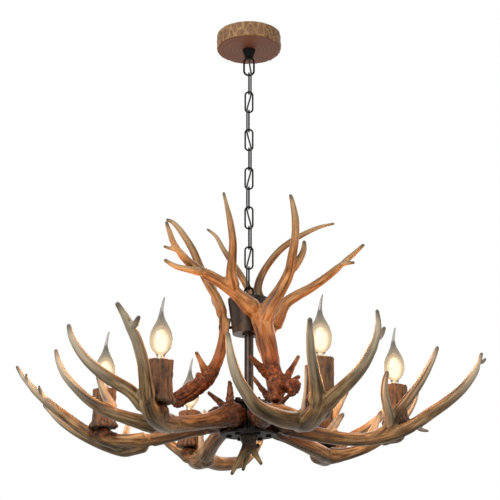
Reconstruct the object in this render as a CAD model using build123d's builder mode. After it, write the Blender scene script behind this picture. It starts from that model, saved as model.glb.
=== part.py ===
"""Antler chandelier: six candle lamps on six lower antlers, three upper antlers, chain and canopy.

Millimetres. +Z is up and the origin is on the ceiling, in the middle of the canopy.
Heights called "level" are measured from the ring plane, the height of the six candle cup tops.
"""
import os
from math import cos, pi, radians, sin, sqrt, tan

from build123d import *

# Canopy and its bracket
CANOPY_R = 57.0
CANOPY_HEIGHT = 28.0
CANOPY_WALL = 3.0
CANOPY_EDGE_R = 2.0
BRACKET_LENGTH = 92.0
BRACKET_WIDTH = 20.0
BRACKET_SHEET = 2.0
BRACKET_DROP = 9.0
BRACKET_CENTRE_LENGTH = 34.0
SCREW_SPACING = 70.0
SCREW_HOLE_R = 2.5
TERMINAL_BLOCK = (14.0, 10.0, 8.0)
TERMINAL_OFFSET = 32.0
NIPPLE_RISE = 1.0

# Collar and loop under the canopy
COLLAR_TOP_R = 11.5
COLLAR_FOOT_R = 7.5
COLLAR_HEIGHT = 14.0
NIPPLE_R = 5.0
NUT_R = 9.0
NUT_HEIGHT = 4.0
LOOP_WIRE_R = 1.75
CANOPY_LOOP_WIDTH = 21.0
CANOPY_LOOP_HEIGHT = 37.5
CANOPY_LOOP_SINK = 1.0
FIXTURE_LOOP_SINK = 3.0

# Chain
LINK_COUNT = 11
LINK_LENGTH = 42.0
LINK_WIDTH = 16.0
LINK_WIRE_R = 1.5

# Supply cord
CORD_R = 1.5
CORD_BORE_R = 2.0
CORD_ENTRY_R = 3.2
CORD_BEND_R = 12.0
CORD_GAP = 0.6
CORD_PASS = 5.2
CORD_DIVE = 4.0
CORD_END_LEVEL = 120.0

# Fixture loop, wiring cup and stem
FIXTURE_LOOP_WIDTH = 18.0
FIXTURE_LOOP_HEIGHT = 20.0
LOOP_FLANGE_R = 10.0
LOOP_FLANGE = 3.0
LOOP_PLUG = 16.0
CUP_TOP_LEVEL = 145.0
CUP_FOOT_LEVEL = 88.0
CUP_TOP_R = 35.0
CUP_FOOT_R = 27.0
CUP_SHEET = 2.0
COVER_RISE = 3.0
TUBE_R = 7.5
TUBE_WALL = 1.5
TUBE_FLANGE_R = 11.0
TUBE_FLANGE = 3.0
TUBE_TAIL = 5.0
CONNECTOR_R = 4.5
CONNECTOR_HEIGHT = 17.0
CONNECTOR_TAPER = 6.0
CONNECTOR_OFFSET = 17.0
CONNECTOR_COUNT = 3

# Hub
PLATE_SHEET = 4.0
BOTTOM_PLATE_R = 46.0
TOP_PLATE_R = 38.0
BOTTOM_PLATE_LEVEL = -75.0
TOP_PLATE_LEVEL = -30.0
ANTLER_BOLT_CIRCLE_R = 32.0
BOLT_R = 2.5
BOLT_HEAD_R = 4.5
BOLT_HEAD = 3.5
BOLT_BOSS_R = 8.0

# Finial
FINIAL_TOP_R = 15.0
FINIAL_FOOT_R = 8.0
FINIAL_HEIGHT = 22.0
FINIAL_PLUG = 12.0
FINIAL_NUT_R = 11.0

# Candle cups, sockets and bulbs
LAMP_COUNT = 6
LAMP_CIRCLE_R = 236.0
DRAWN_CIRCLE_R = 236.0
LAMP_START_ANGLE = 176.6
CANDLE_HEIGHT = 64.0
CANDLE_TOP_R = 19.5
CANDLE_WAIST_R = 18.0
CANDLE_BORE_R = 15.0
CANDLE_FLOOR = 3.0
CORONET_R = 23.0
CORONET_EDGE = 3.0
CORONET_HEIGHT = 11.0
SEAT_R = 14.0
SEAT_DEPTH = 18.0
SOCKET_R = 12.5
SOCKET_TOP_DROP = 8.0
SOCKET_NIPPLE_R = 4.0
SOCKET_NIPPLE_LENGTH = 14.0
BULB_CAP_R = 6.9
BULB_CAP_LENGTH = 27.0
BULB_CAP_SHOW = 6.0
BULB_NECK_R = 6.0
BULB_R = 17.5
BULB_BELLY_RISE = 30.0
BULB_SHOULDER_RISE = 58.0
BULB_SHOULDER_R = 7.0
BULB_GLASS = 1.0
BULB_NECKING_RISE = 66.0
BULB_DRAWN_RISE = 76.0
BULB_TIP_RISE = 97.0
BULB_TIP_LEAN = 4.0
BULB_TIP_R = 1.2
BULB_STEM_R = 2.5
BULB_STEM_LENGTH = 22.0

# Upper antlers
UPPER_COUNT = 3
UPPER_BOLT_LEVEL = 100.0
UPPER_HEAD_RADII = (60.0, 60.0, 46.0)
UPPER_NUT_GAP = 1.0

# Clearances
SLIDE_GAP = 0.1
SEAT_GAP = 0.3
HOLE_GAP = 0.2

# Derived places
canopy_foot = -CANOPY_HEIGHT
collar_foot = canopy_foot - COLLAR_HEIGHT
canopy_loop_top = collar_foot + CANOPY_LOOP_SINK
canopy_loop_foot = canopy_loop_top - CANOPY_LOOP_HEIGHT
link_pitch = LINK_LENGTH - 4 * LINK_WIRE_R - SEAT_GAP
first_link_top = canopy_loop_foot + 2 * LOOP_WIRE_R + SEAT_GAP + 2 * LINK_WIRE_R
last_link_foot = first_link_top - (LINK_COUNT - 1) * link_pitch - LINK_LENGTH
fixture_loop_top = last_link_foot + 2 * LINK_WIRE_R + SEAT_GAP + 2 * LOOP_WIRE_R
cover_top_level = CUP_TOP_LEVEL + CUP_SHEET + COVER_RISE
loop_flange_top = fixture_loop_top - FIXTURE_LOOP_HEIGHT + FIXTURE_LOOP_SINK
ring_plane = loop_flange_top - LOOP_FLANGE - cover_top_level
tube_bore_r = TUBE_R - TUBE_WALL
lamp_angles = [LAMP_START_ANGLE + 360 / LAMP_COUNT * i for i in range(LAMP_COUNT)]
upper_angles = [lamp_angles[2] + 360 / UPPER_COUNT * i for i in range(UPPER_COUNT)]


def at_level(level):
    """Height in the part's frame of a level measured from the ring plane."""
    return ring_plane + level


def placed(radial, left, level, azimuth):
    """A point given outward, to the left and from the ring plane, turned to its azimuth."""
    turn = radians(azimuth)
    x = radial * cos(turn) - left * sin(turn)
    y = radial * sin(turn) + left * cos(turn)
    return Vector(x, y, at_level(level))


def limb(stations, azimuth):
    """A tapered round limb through stations (outward, left, level, radius), in the open part."""
    points = [placed(radial, left, level, azimuth) for radial, left, level, _ in stations]
    sections = []
    for i, station in enumerate(stations):
        before = points[max(i - 1, 0)]
        after = points[min(i + 1, len(points) - 1)]
        with BuildSketch(Plane(origin=points[i], z_dir=after - before)) as section:
            Circle(station[3])
        sections.append(section.sketch)
    loft(sections, ruled=True)


def spread(stations):
    """Stations drawn for DRAWN_CIRCLE_R, moved out from the hub's edge with the lamp circle."""
    share = (LAMP_CIRCLE_R - BOTTOM_PLATE_R) / (DRAWN_CIRCLE_R - BOTTOM_PLATE_R)
    return [
        (radial + max(radial - BOTTOM_PLATE_R, 0) * (share - 1), left, level, radius)
        for radial, left, level, radius in stations
    ]


def cylinder_between(radius, foot, top):
    """An upright cylinder on the axis of the current location, from foot to top."""
    with Locations((0, 0, foot)):
        Cylinder(radius, top - foot, align=(Align.CENTER, Align.CENTER, Align.MIN))


def hole_between(radius, foot, top):
    """An upright hole on the axis of the current location, from foot to top."""
    with Locations((0, 0, foot)):
        Cylinder(radius, top - foot, align=(Align.CENTER, Align.CENTER, Align.MIN), mode=Mode.SUBTRACT)


def wire_ring(width, height, wire_r, top, x_dir):
    """A long ring of bent rod hanging from top, its width along x_dir, added to the open part."""
    bend_r = width / 2 - wire_r
    reach = height / 2 - width / 2
    facing = Vector(*x_dir).cross(Vector(0, 0, 1))
    with BuildLine(Plane(origin=(0, 0, top - height / 2), x_dir=x_dir, z_dir=facing)) as path:
        Line((bend_r, -reach), (bend_r, reach))
        ThreePointArc((bend_r, reach), (0, reach + bend_r), (-bend_r, reach))
        Line((-bend_r, reach), (-bend_r, -reach))
        ThreePointArc((-bend_r, -reach), (0, -reach - bend_r), (bend_r, -reach))
    with BuildSketch(path.line ^ 0) as section:
        Circle(wire_r)
    sweep(section.sketch, path=path.line)


def outward_from(azimuth):
    """The level direction that points outward at an azimuth."""
    return Vector(cos(radians(azimuth)), sin(radians(azimuth)), 0)


def bolt_plane(azimuth):
    """The place of an upper antler's bolt: on the stem's axis, its own axis pointing outward."""
    return Plane(origin=(0, 0, at_level(UPPER_BOLT_LEVEL)), z_dir=outward_from(azimuth)).location


ALONG_X = (1, 0, 0)
ALONG_Y = (0, 1, 0)

os.makedirs("parts", exist_ok=True)


def save(piece, name):
    """Name a finished piece and write it to its own file."""
    piece.part.label = name
    export_step(piece.part, f"parts/{name}.step")


# Ceiling bracket: a hat-shaped bar whose two feet are screwed to the ceiling
bracket_foot_length = (BRACKET_LENGTH - BRACKET_CENTRE_LENGTH) / 2
bracket_foot_x = BRACKET_LENGTH / 2 - bracket_foot_length / 2
with BuildPart() as ceiling_bracket:
    with Locations((bracket_foot_x, 0, 0), (-bracket_foot_x, 0, 0)):
        Box(bracket_foot_length, BRACKET_WIDTH, BRACKET_SHEET,
            align=(Align.CENTER, Align.CENTER, Align.MAX))
    with Locations((0, 0, -BRACKET_DROP)):
        Box(BRACKET_CENTRE_LENGTH, BRACKET_WIDTH, BRACKET_SHEET,
            align=(Align.CENTER, Align.CENTER, Align.MAX))
    leg_x = BRACKET_CENTRE_LENGTH / 2 - BRACKET_SHEET / 2
    with Locations((leg_x, 0, 0), (-leg_x, 0, 0)):
        Box(BRACKET_SHEET, BRACKET_WIDTH, BRACKET_DROP + BRACKET_SHEET,
            align=(Align.CENTER, Align.CENTER, Align.MAX))
    with Locations((SCREW_SPACING / 2, 0), (-SCREW_SPACING / 2, 0)):
        hole_between(SCREW_HOLE_R, -BRACKET_SHEET, 0)
    hole_between(NIPPLE_R + HOLE_GAP, -BRACKET_DROP - BRACKET_SHEET, -BRACKET_DROP)
save(ceiling_bracket, "ceiling_bracket")

# Canopy: a bark-sided boss, hollow above its floor
with BuildPart() as canopy:
    cylinder_between(CANOPY_R, canopy_foot, 0)
    hole_between(CANOPY_R - CANOPY_WALL, canopy_foot + CANOPY_WALL, 0)
    hole_between(NIPPLE_R + HOLE_GAP, canopy_foot, canopy_foot + CANOPY_WALL)
    foot_circles = canopy.edges().filter_by(GeomType.CIRCLE).group_by(Axis.Z)[0]
    fillet(foot_circles.sort_by(SortBy.RADIUS)[-1], CANOPY_EDGE_R)
save(canopy, "canopy")

# Terminal block, standing on the canopy floor
with BuildPart() as terminal_block:
    with Locations((0, TERMINAL_OFFSET, canopy_foot + CANOPY_WALL)):
        Box(*TERMINAL_BLOCK, align=(Align.CENTER, Align.CENTER, Align.MIN))
save(terminal_block, "terminal_block")

# Stem nut: holds the nipple on the bracket
stem_nut_foot = -BRACKET_DROP
with BuildPart() as stem_nut:
    with BuildSketch(Plane.XY.offset(stem_nut_foot)):
        RegularPolygon(NUT_R, 6)
        Circle(NIPPLE_R + SLIDE_GAP, mode=Mode.SUBTRACT)
    extrude(amount=NUT_HEIGHT)
save(stem_nut, "stem_nut")

# Collar nut: a cone on the nipple that holds the canopy up
with BuildPart() as collar_nut:
    with BuildSketch(Plane.XZ):
        with BuildLine():
            Polyline((0, canopy_foot), (COLLAR_TOP_R, canopy_foot), (COLLAR_FOOT_R, collar_foot),
                     (0, collar_foot), close=True)
        make_face()
    revolve(axis=Axis.Z)
    hole_between(NIPPLE_R + SLIDE_GAP, collar_foot, canopy_foot)
save(collar_nut, "collar_nut")

# Canopy loop: a hollow threaded nipple with a wire ring at its foot
nipple_top = stem_nut_foot + NUT_HEIGHT + NIPPLE_RISE
with BuildPart() as canopy_loop:
    cylinder_between(NIPPLE_R, canopy_loop_top - 2 * LOOP_WIRE_R, nipple_top)
    wire_ring(CANOPY_LOOP_WIDTH, CANOPY_LOOP_HEIGHT, LOOP_WIRE_R, canopy_loop_top, ALONG_X)
    hole_between(CORD_BORE_R, canopy_loop_top - 2 * LOOP_WIRE_R - NIPPLE_R, nipple_top)
save(canopy_loop, "canopy_loop")

# Chain links: every second one is turned a quarter turn
for number in range(1, LINK_COUNT + 1):
    link_top = first_link_top - (number - 1) * link_pitch
    with BuildPart() as chain_link:
        wire_ring(LINK_WIDTH, LINK_LENGTH, LINK_WIRE_R, link_top, ALONG_Y if number % 2 else ALONG_X)
    save(chain_link, f"chain_link_{number:02d}")


# Supply cord: down the nipple, zigzag through the links that lie along X, into the stem.
# Beside each crossing of two rings it runs straight down, clear of both wires.
cord_side = LINK_WIRE_R + CORD_R + CORD_GAP
cord_front = LOOP_WIRE_R + CORD_R + CORD_GAP
cord_run = [
    Vector(0, 0, nipple_top),
    Vector(0, 0, canopy_loop_top - 2 * LOOP_WIRE_R - CORD_BEND_R / 2),
]
cord_way = 1
for number in range(LINK_COUNT + 1):
    crossing = canopy_loop_foot + 2 * LOOP_WIRE_R + SEAT_GAP / 2
    if number:
        crossing = first_link_top - (number - 1) * link_pitch - LINK_LENGTH + 2 * LINK_WIRE_R + SEAT_GAP / 2
    behind = cord_front if number % 2 else -cord_front
    cord_run.append(Vector(cord_way * cord_side, behind, crossing + CORD_PASS / 2))
    cord_run.append(Vector(cord_way * cord_side, behind, crossing - CORD_PASS / 2))
    if number % 2:
        cord_way = -cord_way
cord_run[-1].Z = last_link_foot - CORD_R
cord_run.append(Vector(0, 0, loop_flange_top - CORD_DIVE))
cord_run.append(Vector(0, 0, at_level(CORD_END_LEVEL)))

with BuildPart() as supply_cord:
    with BuildLine() as cord_path:
        run_start = cord_run[0]
        for before, corner, after in zip(cord_run, cord_run[1:], cord_run[2:]):
            inward = (corner - before).normalized()
            outward = (after - corner).normalized()
            half_turn = radians(inward.get_angle(outward)) / 2
            trim = CORD_BEND_R * tan(half_turn)
            middle = corner + (outward - inward).normalized() * CORD_BEND_R * (1 / cos(half_turn) - 1)
            bend_start = corner - inward * trim
            bend_end = corner + outward * trim
            Line(run_start, bend_start)
            ThreePointArc(bend_start, middle, bend_end)
            run_start = bend_end
        Line(run_start, cord_run[-1])
    with BuildSketch(cord_path.line ^ 0):
        Circle(CORD_R)
    sweep(path=cord_path.line)
save(supply_cord, "supply_cord")
cord_length = sum(edge.length for edge in cord_path.line.edges())
section_volume = pi * CORD_R**2 * cord_length
print(f"supply cord: {cord_length:.1f} mm, volume {supply_cord.part.volume:.0f} of {section_volume:.0f} mm3")

# Fixture loop: ring, flange on the cup cover and a hollow plug in the stem tube
cover_top = at_level(cover_top_level)
with BuildPart() as fixture_loop:
    wire_ring(FIXTURE_LOOP_WIDTH, FIXTURE_LOOP_HEIGHT, LOOP_WIRE_R, fixture_loop_top, ALONG_X)
    cylinder_between(LOOP_FLANGE_R, cover_top, loop_flange_top)
    cylinder_between(tube_bore_r - SLIDE_GAP, cover_top - LOOP_PLUG, cover_top)
    hole_between(CORD_ENTRY_R, cover_top - LOOP_PLUG, loop_flange_top + LOOP_WIRE_R)
save(fixture_loop, "fixture_loop")

# Wiring cup: a sheet bell, wide end up
cup_top = at_level(CUP_TOP_LEVEL)
cup_foot = at_level(CUP_FOOT_LEVEL)
with BuildPart() as wiring_cup:
    with BuildSketch(Plane.XZ):
        with BuildLine():
            Polyline(
                (TUBE_R + SLIDE_GAP, cup_foot),
                (CUP_FOOT_R, cup_foot),
                (CUP_TOP_R, cup_top),
                (CUP_TOP_R - CUP_SHEET, cup_top),
                (CUP_FOOT_R - CUP_SHEET, cup_foot + CUP_SHEET),
                (TUBE_R + SLIDE_GAP, cup_foot + CUP_SHEET),
                close=True,
            )
        make_face()
    revolve(axis=Axis.Z)
    for angle in upper_angles:
        with Locations(bolt_plane(angle)):
            hole_between(BOLT_R + HOLE_GAP, TUBE_R, CUP_TOP_R)
save(wiring_cup, "wiring_cup")

# Cup cover: a shallow cone with its rim on the cup
with BuildPart() as cup_cover:
    with BuildSketch(Plane.XZ):
        with BuildLine():
            Polyline(
                (tube_bore_r, cup_top + COVER_RISE),
                (LOOP_FLANGE_R, cup_top + COVER_RISE),
                (CUP_TOP_R, cup_top),
                (CUP_TOP_R, cup_top + CUP_SHEET),
                (LOOP_FLANGE_R, cover_top),
                (tube_bore_r, cover_top),
                close=True,
            )
        make_face()
    revolve(axis=Axis.Z)
save(cup_cover, "cup_cover")

# Stem tube, with the flange that the cup stands on
bottom_plate_top = at_level(BOTTOM_PLATE_LEVEL)
bottom_plate_foot = bottom_plate_top - PLATE_SHEET
tube_foot = bottom_plate_foot - TUBE_TAIL
with BuildPart() as stem_tube:
    cylinder_between(TUBE_R, tube_foot, cup_top + COVER_RISE)
    cylinder_between(TUBE_FLANGE_R, cup_foot - TUBE_FLANGE, cup_foot)
    hole_between(tube_bore_r, tube_foot, cup_top + COVER_RISE)
save(stem_tube, "stem_tube")

# Wire connectors: closed caps standing on the cup's floor, between the antler bolts
connector_foot = cup_foot + CUP_SHEET
with BuildPart() as wire_connectors:
    with BuildSketch(Plane.XY.offset(connector_foot)):
        with PolarLocations(CONNECTOR_OFFSET, CONNECTOR_COUNT, upper_angles[0] + 180 / UPPER_COUNT):
            Circle(CONNECTOR_R)
    extrude(amount=CONNECTOR_HEIGHT, taper=CONNECTOR_TAPER)
save(wire_connectors, "wire_connectors")

# Hub plates, bored for the stem and the antler bolts
top_plate_foot = at_level(TOP_PLATE_LEVEL)
top_plate_top = top_plate_foot + PLATE_SHEET
with BuildPart() as hub_bottom_plate:
    cylinder_between(BOTTOM_PLATE_R, bottom_plate_foot, bottom_plate_top)
    hole_between(TUBE_R + SLIDE_GAP, bottom_plate_foot, bottom_plate_top)
    with PolarLocations(ANTLER_BOLT_CIRCLE_R, LAMP_COUNT, LAMP_START_ANGLE):
        hole_between(BOLT_R + HOLE_GAP, bottom_plate_foot, bottom_plate_top)
save(hub_bottom_plate, "hub_bottom_plate")

with BuildPart() as hub_top_plate:
    cylinder_between(TOP_PLATE_R, top_plate_foot, top_plate_top)
    hole_between(TUBE_R + SLIDE_GAP, top_plate_foot, top_plate_top)
    with PolarLocations(ANTLER_BOLT_CIRCLE_R, LAMP_COUNT, LAMP_START_ANGLE):
        hole_between(BOLT_R + HOLE_GAP, top_plate_foot, top_plate_top)
save(hub_top_plate, "hub_top_plate")

with BuildPart() as lower_antler_bolts:
    with PolarLocations(ANTLER_BOLT_CIRCLE_R, LAMP_COUNT, LAMP_START_ANGLE):
        cylinder_between(BOLT_R, bottom_plate_foot, top_plate_top)
        cylinder_between(BOLT_HEAD_R, bottom_plate_foot - BOLT_HEAD, bottom_plate_foot)
        cylinder_between(BOLT_HEAD_R, top_plate_top, top_plate_top + BOLT_HEAD)
save(lower_antler_bolts, "lower_antler_bolts")

# Finial: bark cone with four tines, plugged into the tube, and the nut in its top
finial_foot = bottom_plate_foot - FINIAL_HEIGHT
FINIAL_TINES = [
    [(0, 0, -90, 7), (-8, -4, -106, 6), (-18, -7, -123, 4.5), (-28, -8, -143, 1.5)],
    [(0, 2, -92, 6), (-3, 8, -110, 4.5), (-10, 10, -134, 2.5)],
    [(2, 0, -92, 6), (10, 0, -108, 4.5), (21, 0, -126, 2)],
    [(2, 2, -96, 5), (10, 6, -97, 3.5), (17, 8, -92, 1.5)],
]
with BuildPart() as finial:
    with BuildSketch(Plane.XY.offset(bottom_plate_foot)):
        Circle(FINIAL_TOP_R)
    with BuildSketch(Plane.XY.offset(finial_foot)):
        Circle(FINIAL_FOOT_R)
    loft()
    for stations in FINIAL_TINES:
        limb(stations, 0)
    hole_between(FINIAL_NUT_R + SEAT_GAP, bottom_plate_foot - TUBE_TAIL, bottom_plate_foot)
    cylinder_between(tube_bore_r - SLIDE_GAP, bottom_plate_foot - TUBE_TAIL, bottom_plate_foot + FINIAL_PLUG)
save(finial, "finial")

with BuildPart() as finial_nut:
    with BuildSketch(Plane.XY.offset(tube_foot)):
        RegularPolygon(FINIAL_NUT_R, 6)
        Circle(TUBE_R + SLIDE_GAP, mode=Mode.SUBTRACT)
    extrude(amount=TUBE_TAIL)
save(finial_nut, "finial_nut")

# Lower antlers. Limbs are stations (outward, left, level, radius) from root to tip.
BUTT = [(22, 0, -52, 11), (34, 0, -52, 17), (50, 0, -53, 21.5)]
LAMP_SEAT_LIMB = [(205, -18, -89, 11), (222, -8, -83, 12), (236, 0, -78, 12)]
SWEPT_LEFT = {
    "beam": BUTT + [(64, -5, -58, 16), (95, -14, -68, 12), (145, -25, -79, 12.5), (205, -25, -88, 14)],
    "low tine": [(200, -25, -88, 13), (220, -42, -86, 12), (240, -62, -79, 10), (252, -86, -69, 9),
                 (262, -110, -54, 8), (270, -131, -34, 7), (276, -150, -12, 6), (279, -162, 10, 4.5),
                 (280, -168, 30, 1.5)],
    "low tine nub": [(240, -80, -70, 7), (245, -95, -45, 6.5), (246, -104, -27, 5), (247, -111, -12, 2)],
    "trunk": [(185, -15, -85, 12), (222, -8, -88, 14), (256, 0, -80, 13), (273, 3, -60, 11)],
    "middle tine": [(256, -5, -78, 10), (280, -17, -54, 10), (292, -34, -41, 9.5), (306, -47, -30, 9),
                    (321, -63, -13, 7.5), (331, -75, 5, 6.5), (339, -84, 25, 5), (344, -87, 44, 1.5)],
    "top tine": [(266, 2, -70, 11), (280, 8, -42, 10), (296, 14, -15, 9), (315, 18, 10, 8),
                 (331, 19, 26, 7.5), (348, 20, 41, 5.5), (364, 18, 56, 1.5)],
    "top nub": [(330, 22, 24, 6), (337, 33, 31, 4), (341, 42, 38, 1.5)],
    "brow tine": [(46, -8, -44, 6), (44, -28, -28, 4.5), (45, -50, -10, 1.5)],
    "brow spike": [(50, -4, -40, 6), (48, -4, -18, 4.5), (51, -3, 3, 1.5)],
}
CROSSED = {
    "beam": BUTT + [(66, 0, -55, 16), (95, 0, -56, 13), (140, -2, -70, 13), (190, -8, -88, 15)],
    "low tine": [(185, -5, -88, 14), (202, -20, -89, 14), (218, -50, -92, 13), (228, -78, -89, 12),
                 (236, -104, -82, 10.5), (248, -126, -68, 9), (256, -145, -48, 8), (260, -156, -25, 7),
                 (263, -162, -4, 5), (265, -165, 14, 1.5)],
    "trunk": [(195, -12, -88, 14), (225, -12, -89, 15), (255, -18, -82, 14), (268, -18, -72, 12)],
    "middle tine": [(258, -22, -80, 11), (276, -30, -58, 10), (291, -43, -36, 8.5), (308, -57, -14, 7),
                    (328, -70, 8, 5.5), (345, -79, 26, 1.5)],
    "top tine": [(256, -14, -82, 11), (278, -10, -70, 11), (297, -4, -59, 10), (318, 3, -46, 9),
                 (338, 8, -32, 8), (354, 12, -14, 7), (367, 14, 5, 6), (375, 12, 23, 4), (380, 7, 40, 1.5)],
    "top nub": [(362, 14, -2, 5), (362, 24, 10, 4), (360, 32, 22, 1.5)],
    "bark tine": [(216, -16, -84, 8), (213, -11, -45, 5.5), (211, -10, -6, 2.5)],
}
LEVEL_TOPPED = {
    "beam": BUTT + [(64, -3, -64, 16), (95, -8, -76, 12.5), (130, -12, -84, 11.5), (160, -16, -89, 10.5),
                    (195, -20, -90, 11)],
    "low tine": [(187, -19, -89, 9), (216, -28, -82, 9), (223, -45, -62, 8), (219, -60, -45, 7.5),
                 (215, -75, -27, 6.5), (216, -86, -10, 5), (220, -93, 4, 1.5)],
    "middle tine": [(195, -22, -90, 10), (218, -32, -79, 10), (229, -40, -62, 9), (240, -47, -47, 8.5),
                    (253, -51, -32, 8), (267, -58, -15, 7), (281, -68, 6, 6), (293, -78, 28, 4.5),
                    (300, -83, 44, 1.5)],
    "top tine": [(182, -17, -90, 10), (216, -30, -87, 11), (240, -35, -80, 10.5), (264, -33, -68, 10),
                 (288, -24, -51, 9.5), (316, -14, -31, 9), (342, -8, -9, 8), (362, -2, 16, 6.5),
                 (373, 4, 37, 4.5), (379, 8, 54, 1.5)],
    "top nub": [(372, 4, 34, 4), (380, 12, 40, 3), (386, 16, 46, 1.2)],
    "spur": [(262, -32, -72, 5), (276, -20, -76, 3), (286, -8, -76, 1.2)],
    "brow tine": [(128, -12, -80, 7), (141, -10, -60, 5.5), (153, -9, -46, 3)],
}
LOW_SWEPT = {
    "beam": BUTT + [(64, -4, -58, 16), (95, -5, -68, 12), (130, -8, -76, 12), (165, -10, -84, 12)],
    "low tine": [(195, -28, -92, 8), (207, -52, -80, 7.5), (211, -78, -62, 6.5), (213, -108, -40, 5),
                 (215, -133, -16, 1.5)],
    "middle tine": [(165, -10, -86, 12), (185, -20, -92, 12), (205, -30, -95, 12), (232, -43, -88, 10),
                    (262, -57, -75, 9), (292, -71, -59, 8), (321, -84, -39, 7), (345, -97, -18, 5),
                    (360, -105, -4, 1.5)],
    "top tine": [(160, -9, -83, 11), (195, -5, -84, 10.5), (225, -3, -82, 10), (250, 0, -77, 9.5),
                 (275, 2, -62, 9), (297, 2, -46, 8.5), (320, 1, -29, 8), (343, 0, -9, 7), (360, 2, 8, 6),
                 (374, 2, 25, 4), (384, 3, 40, 1.5)],
    "top nub": [(358, 2, 6, 4), (364, 7, 16, 3), (365, 10, 26, 1.2)],
    "small nub": [(333, 1, -15, 4), (340, 6, -4, 3), (344, 9, 6, 1.2)],
}
LOWER_ANTLERS = [LOW_SWEPT, SWEPT_LEFT, CROSSED, LEVEL_TOPPED, SWEPT_LEFT, CROSSED]

for number, (limbs, angle) in enumerate(zip(LOWER_ANTLERS, lamp_angles), 1):
    bolt_place = placed(ANTLER_BOLT_CIRCLE_R, 0, 0, angle)
    lamp_place = placed(LAMP_CIRCLE_R, 0, 0, angle)
    seat_top = at_level(-CANDLE_HEIGHT)
    with BuildPart() as lower_antler:
        for stations in limbs.values():
            limb(spread(stations), angle)
        limb(spread(LAMP_SEAT_LIMB), angle)
        with Locations((lamp_place.X, lamp_place.Y)):
            cylinder_between(SEAT_R, seat_top - SEAT_DEPTH, seat_top)
            hole_between(SOCKET_NIPPLE_R + HOLE_GAP, seat_top - SOCKET_NIPPLE_LENGTH, seat_top)
        with Locations((bolt_place.X, bolt_place.Y)):
            cylinder_between(BOLT_BOSS_R, bottom_plate_top, top_plate_foot)
            hole_between(BOLT_R + HOLE_GAP, bottom_plate_top, top_plate_foot)
        with Locations((lamp_place.X, lamp_place.Y)):
            hole_between(CORONET_R + SEAT_GAP, seat_top, seat_top + CORONET_HEIGHT)
            hole_between(CANDLE_TOP_R + SEAT_GAP, seat_top, ring_plane)
        hole_between(BOTTOM_PLATE_R + SEAT_GAP, bottom_plate_foot, bottom_plate_top)
        hole_between(TOP_PLATE_R + SEAT_GAP, top_plate_foot, top_plate_top)
    save(lower_antler, f"lower_antler_{number}")

# Upper antlers, bolted through the wiring cup. Stations are as for the lower antlers.
UPPER_FOOT = {
    "shaft": [(95, 0, -39, 8), (92, 0, -28, 8.5), (89, 0, -12, 10), (85, 1, 4, 13), (78, 1, 25, 13),
              (66, 0, 60, 15), (50, 1, 92, 16.5), (48, -10, 116, 16)],
    "brow tine": [(82, 0, 0, 9), (83, -22, 15, 5.5), (89, -44, 30, 1.5)],
    "burr": [(84, 0, 0, 10), (92, 15, -8, 10.5), (101, 23, -15, 11.5), (107, 28, -20, 14.5)],
    "brow spike": [(92, 14, -8, 7), (90, 24, 5, 5), (81, 49, 41, 1.5)],
}
FRONT_CROWN = {
    "long branch": [(48, -10, 112, 15), (47, -44, 138, 11), (48, -68, 152, 10), (46, -90, 163, 9),
                    (43, -116, 174, 8), (51, -142, 188, 6.5), (57, -160, 203, 5.5), (66, -173, 221, 4),
                    (71, -181, 235, 1.5)],
    "long nub": [(54, -152, 193, 4), (56, -164, 196, 3), (51, -177, 200, 1.2)],
    "long side tine": [(44, -104, 168, 6), (52, -120, 166, 5.5), (56, -134, 166, 5.5), (51, -155, 170, 4.5),
                       (47, -174, 180, 1.5)],
    "tall tine": [(48, -50, 142, 10), (61, -62, 166, 8.5), (72, -66, 185, 7.5), (87, -72, 211, 6.5),
                  (98, -82, 240, 5.5), (105, -92, 265, 3.5), (107, -99, 286, 1.5)],
    "right branch": [(50, 0, 98, 15), (60, 5, 118, 12.5), (78, 20, 150, 10), (92, 27, 175, 9),
                     (107, 25, 200, 7.5), (122, 22, 225, 6.5), (132, 17, 250, 6), (138, 9, 275, 4),
                     (141, 3, 288, 1.5)],
    "right side tine": [(92, 27, 172, 7), (99, 42, 196, 6), (99, 50, 213, 5), (96, 53, 230, 1.5)],
}
BACK_CROWN = {
    "long branch": [(49, -10, 108, 15), (51, -25, 126, 12), (60, -34, 149, 10), (73, -49, 164, 9),
                    (82, -68, 175, 8), (88, -98, 192, 7), (83, -130, 207, 6), (78, -157, 220, 4.5),
                    (73, -180, 232, 1.5)],
    "long nub": [(83, -128, 206, 5), (76, -142, 206, 4), (80, -158, 206, 1.2)],
    "curved tine": [(50, -8, 118, 12), (46, 2, 150, 9), (44, 11, 177, 7.5), (49, 3, 208, 6.5),
                    (58, -20, 241, 6), (67, -43, 260, 5.5), (78, -66, 274, 4.5), (89, -87, 284, 3.5),
                    (102, -109, 290, 1.5)],
    "back tine": [(46, 6, 150, 8), (41, 20, 168, 7), (38, 42, 206, 6), (36, 60, 233, 5.5),
                  (36, 76, 257, 4.5), (33, 91, 284, 3.5), (26, 106, 299, 1.5)],
}
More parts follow.
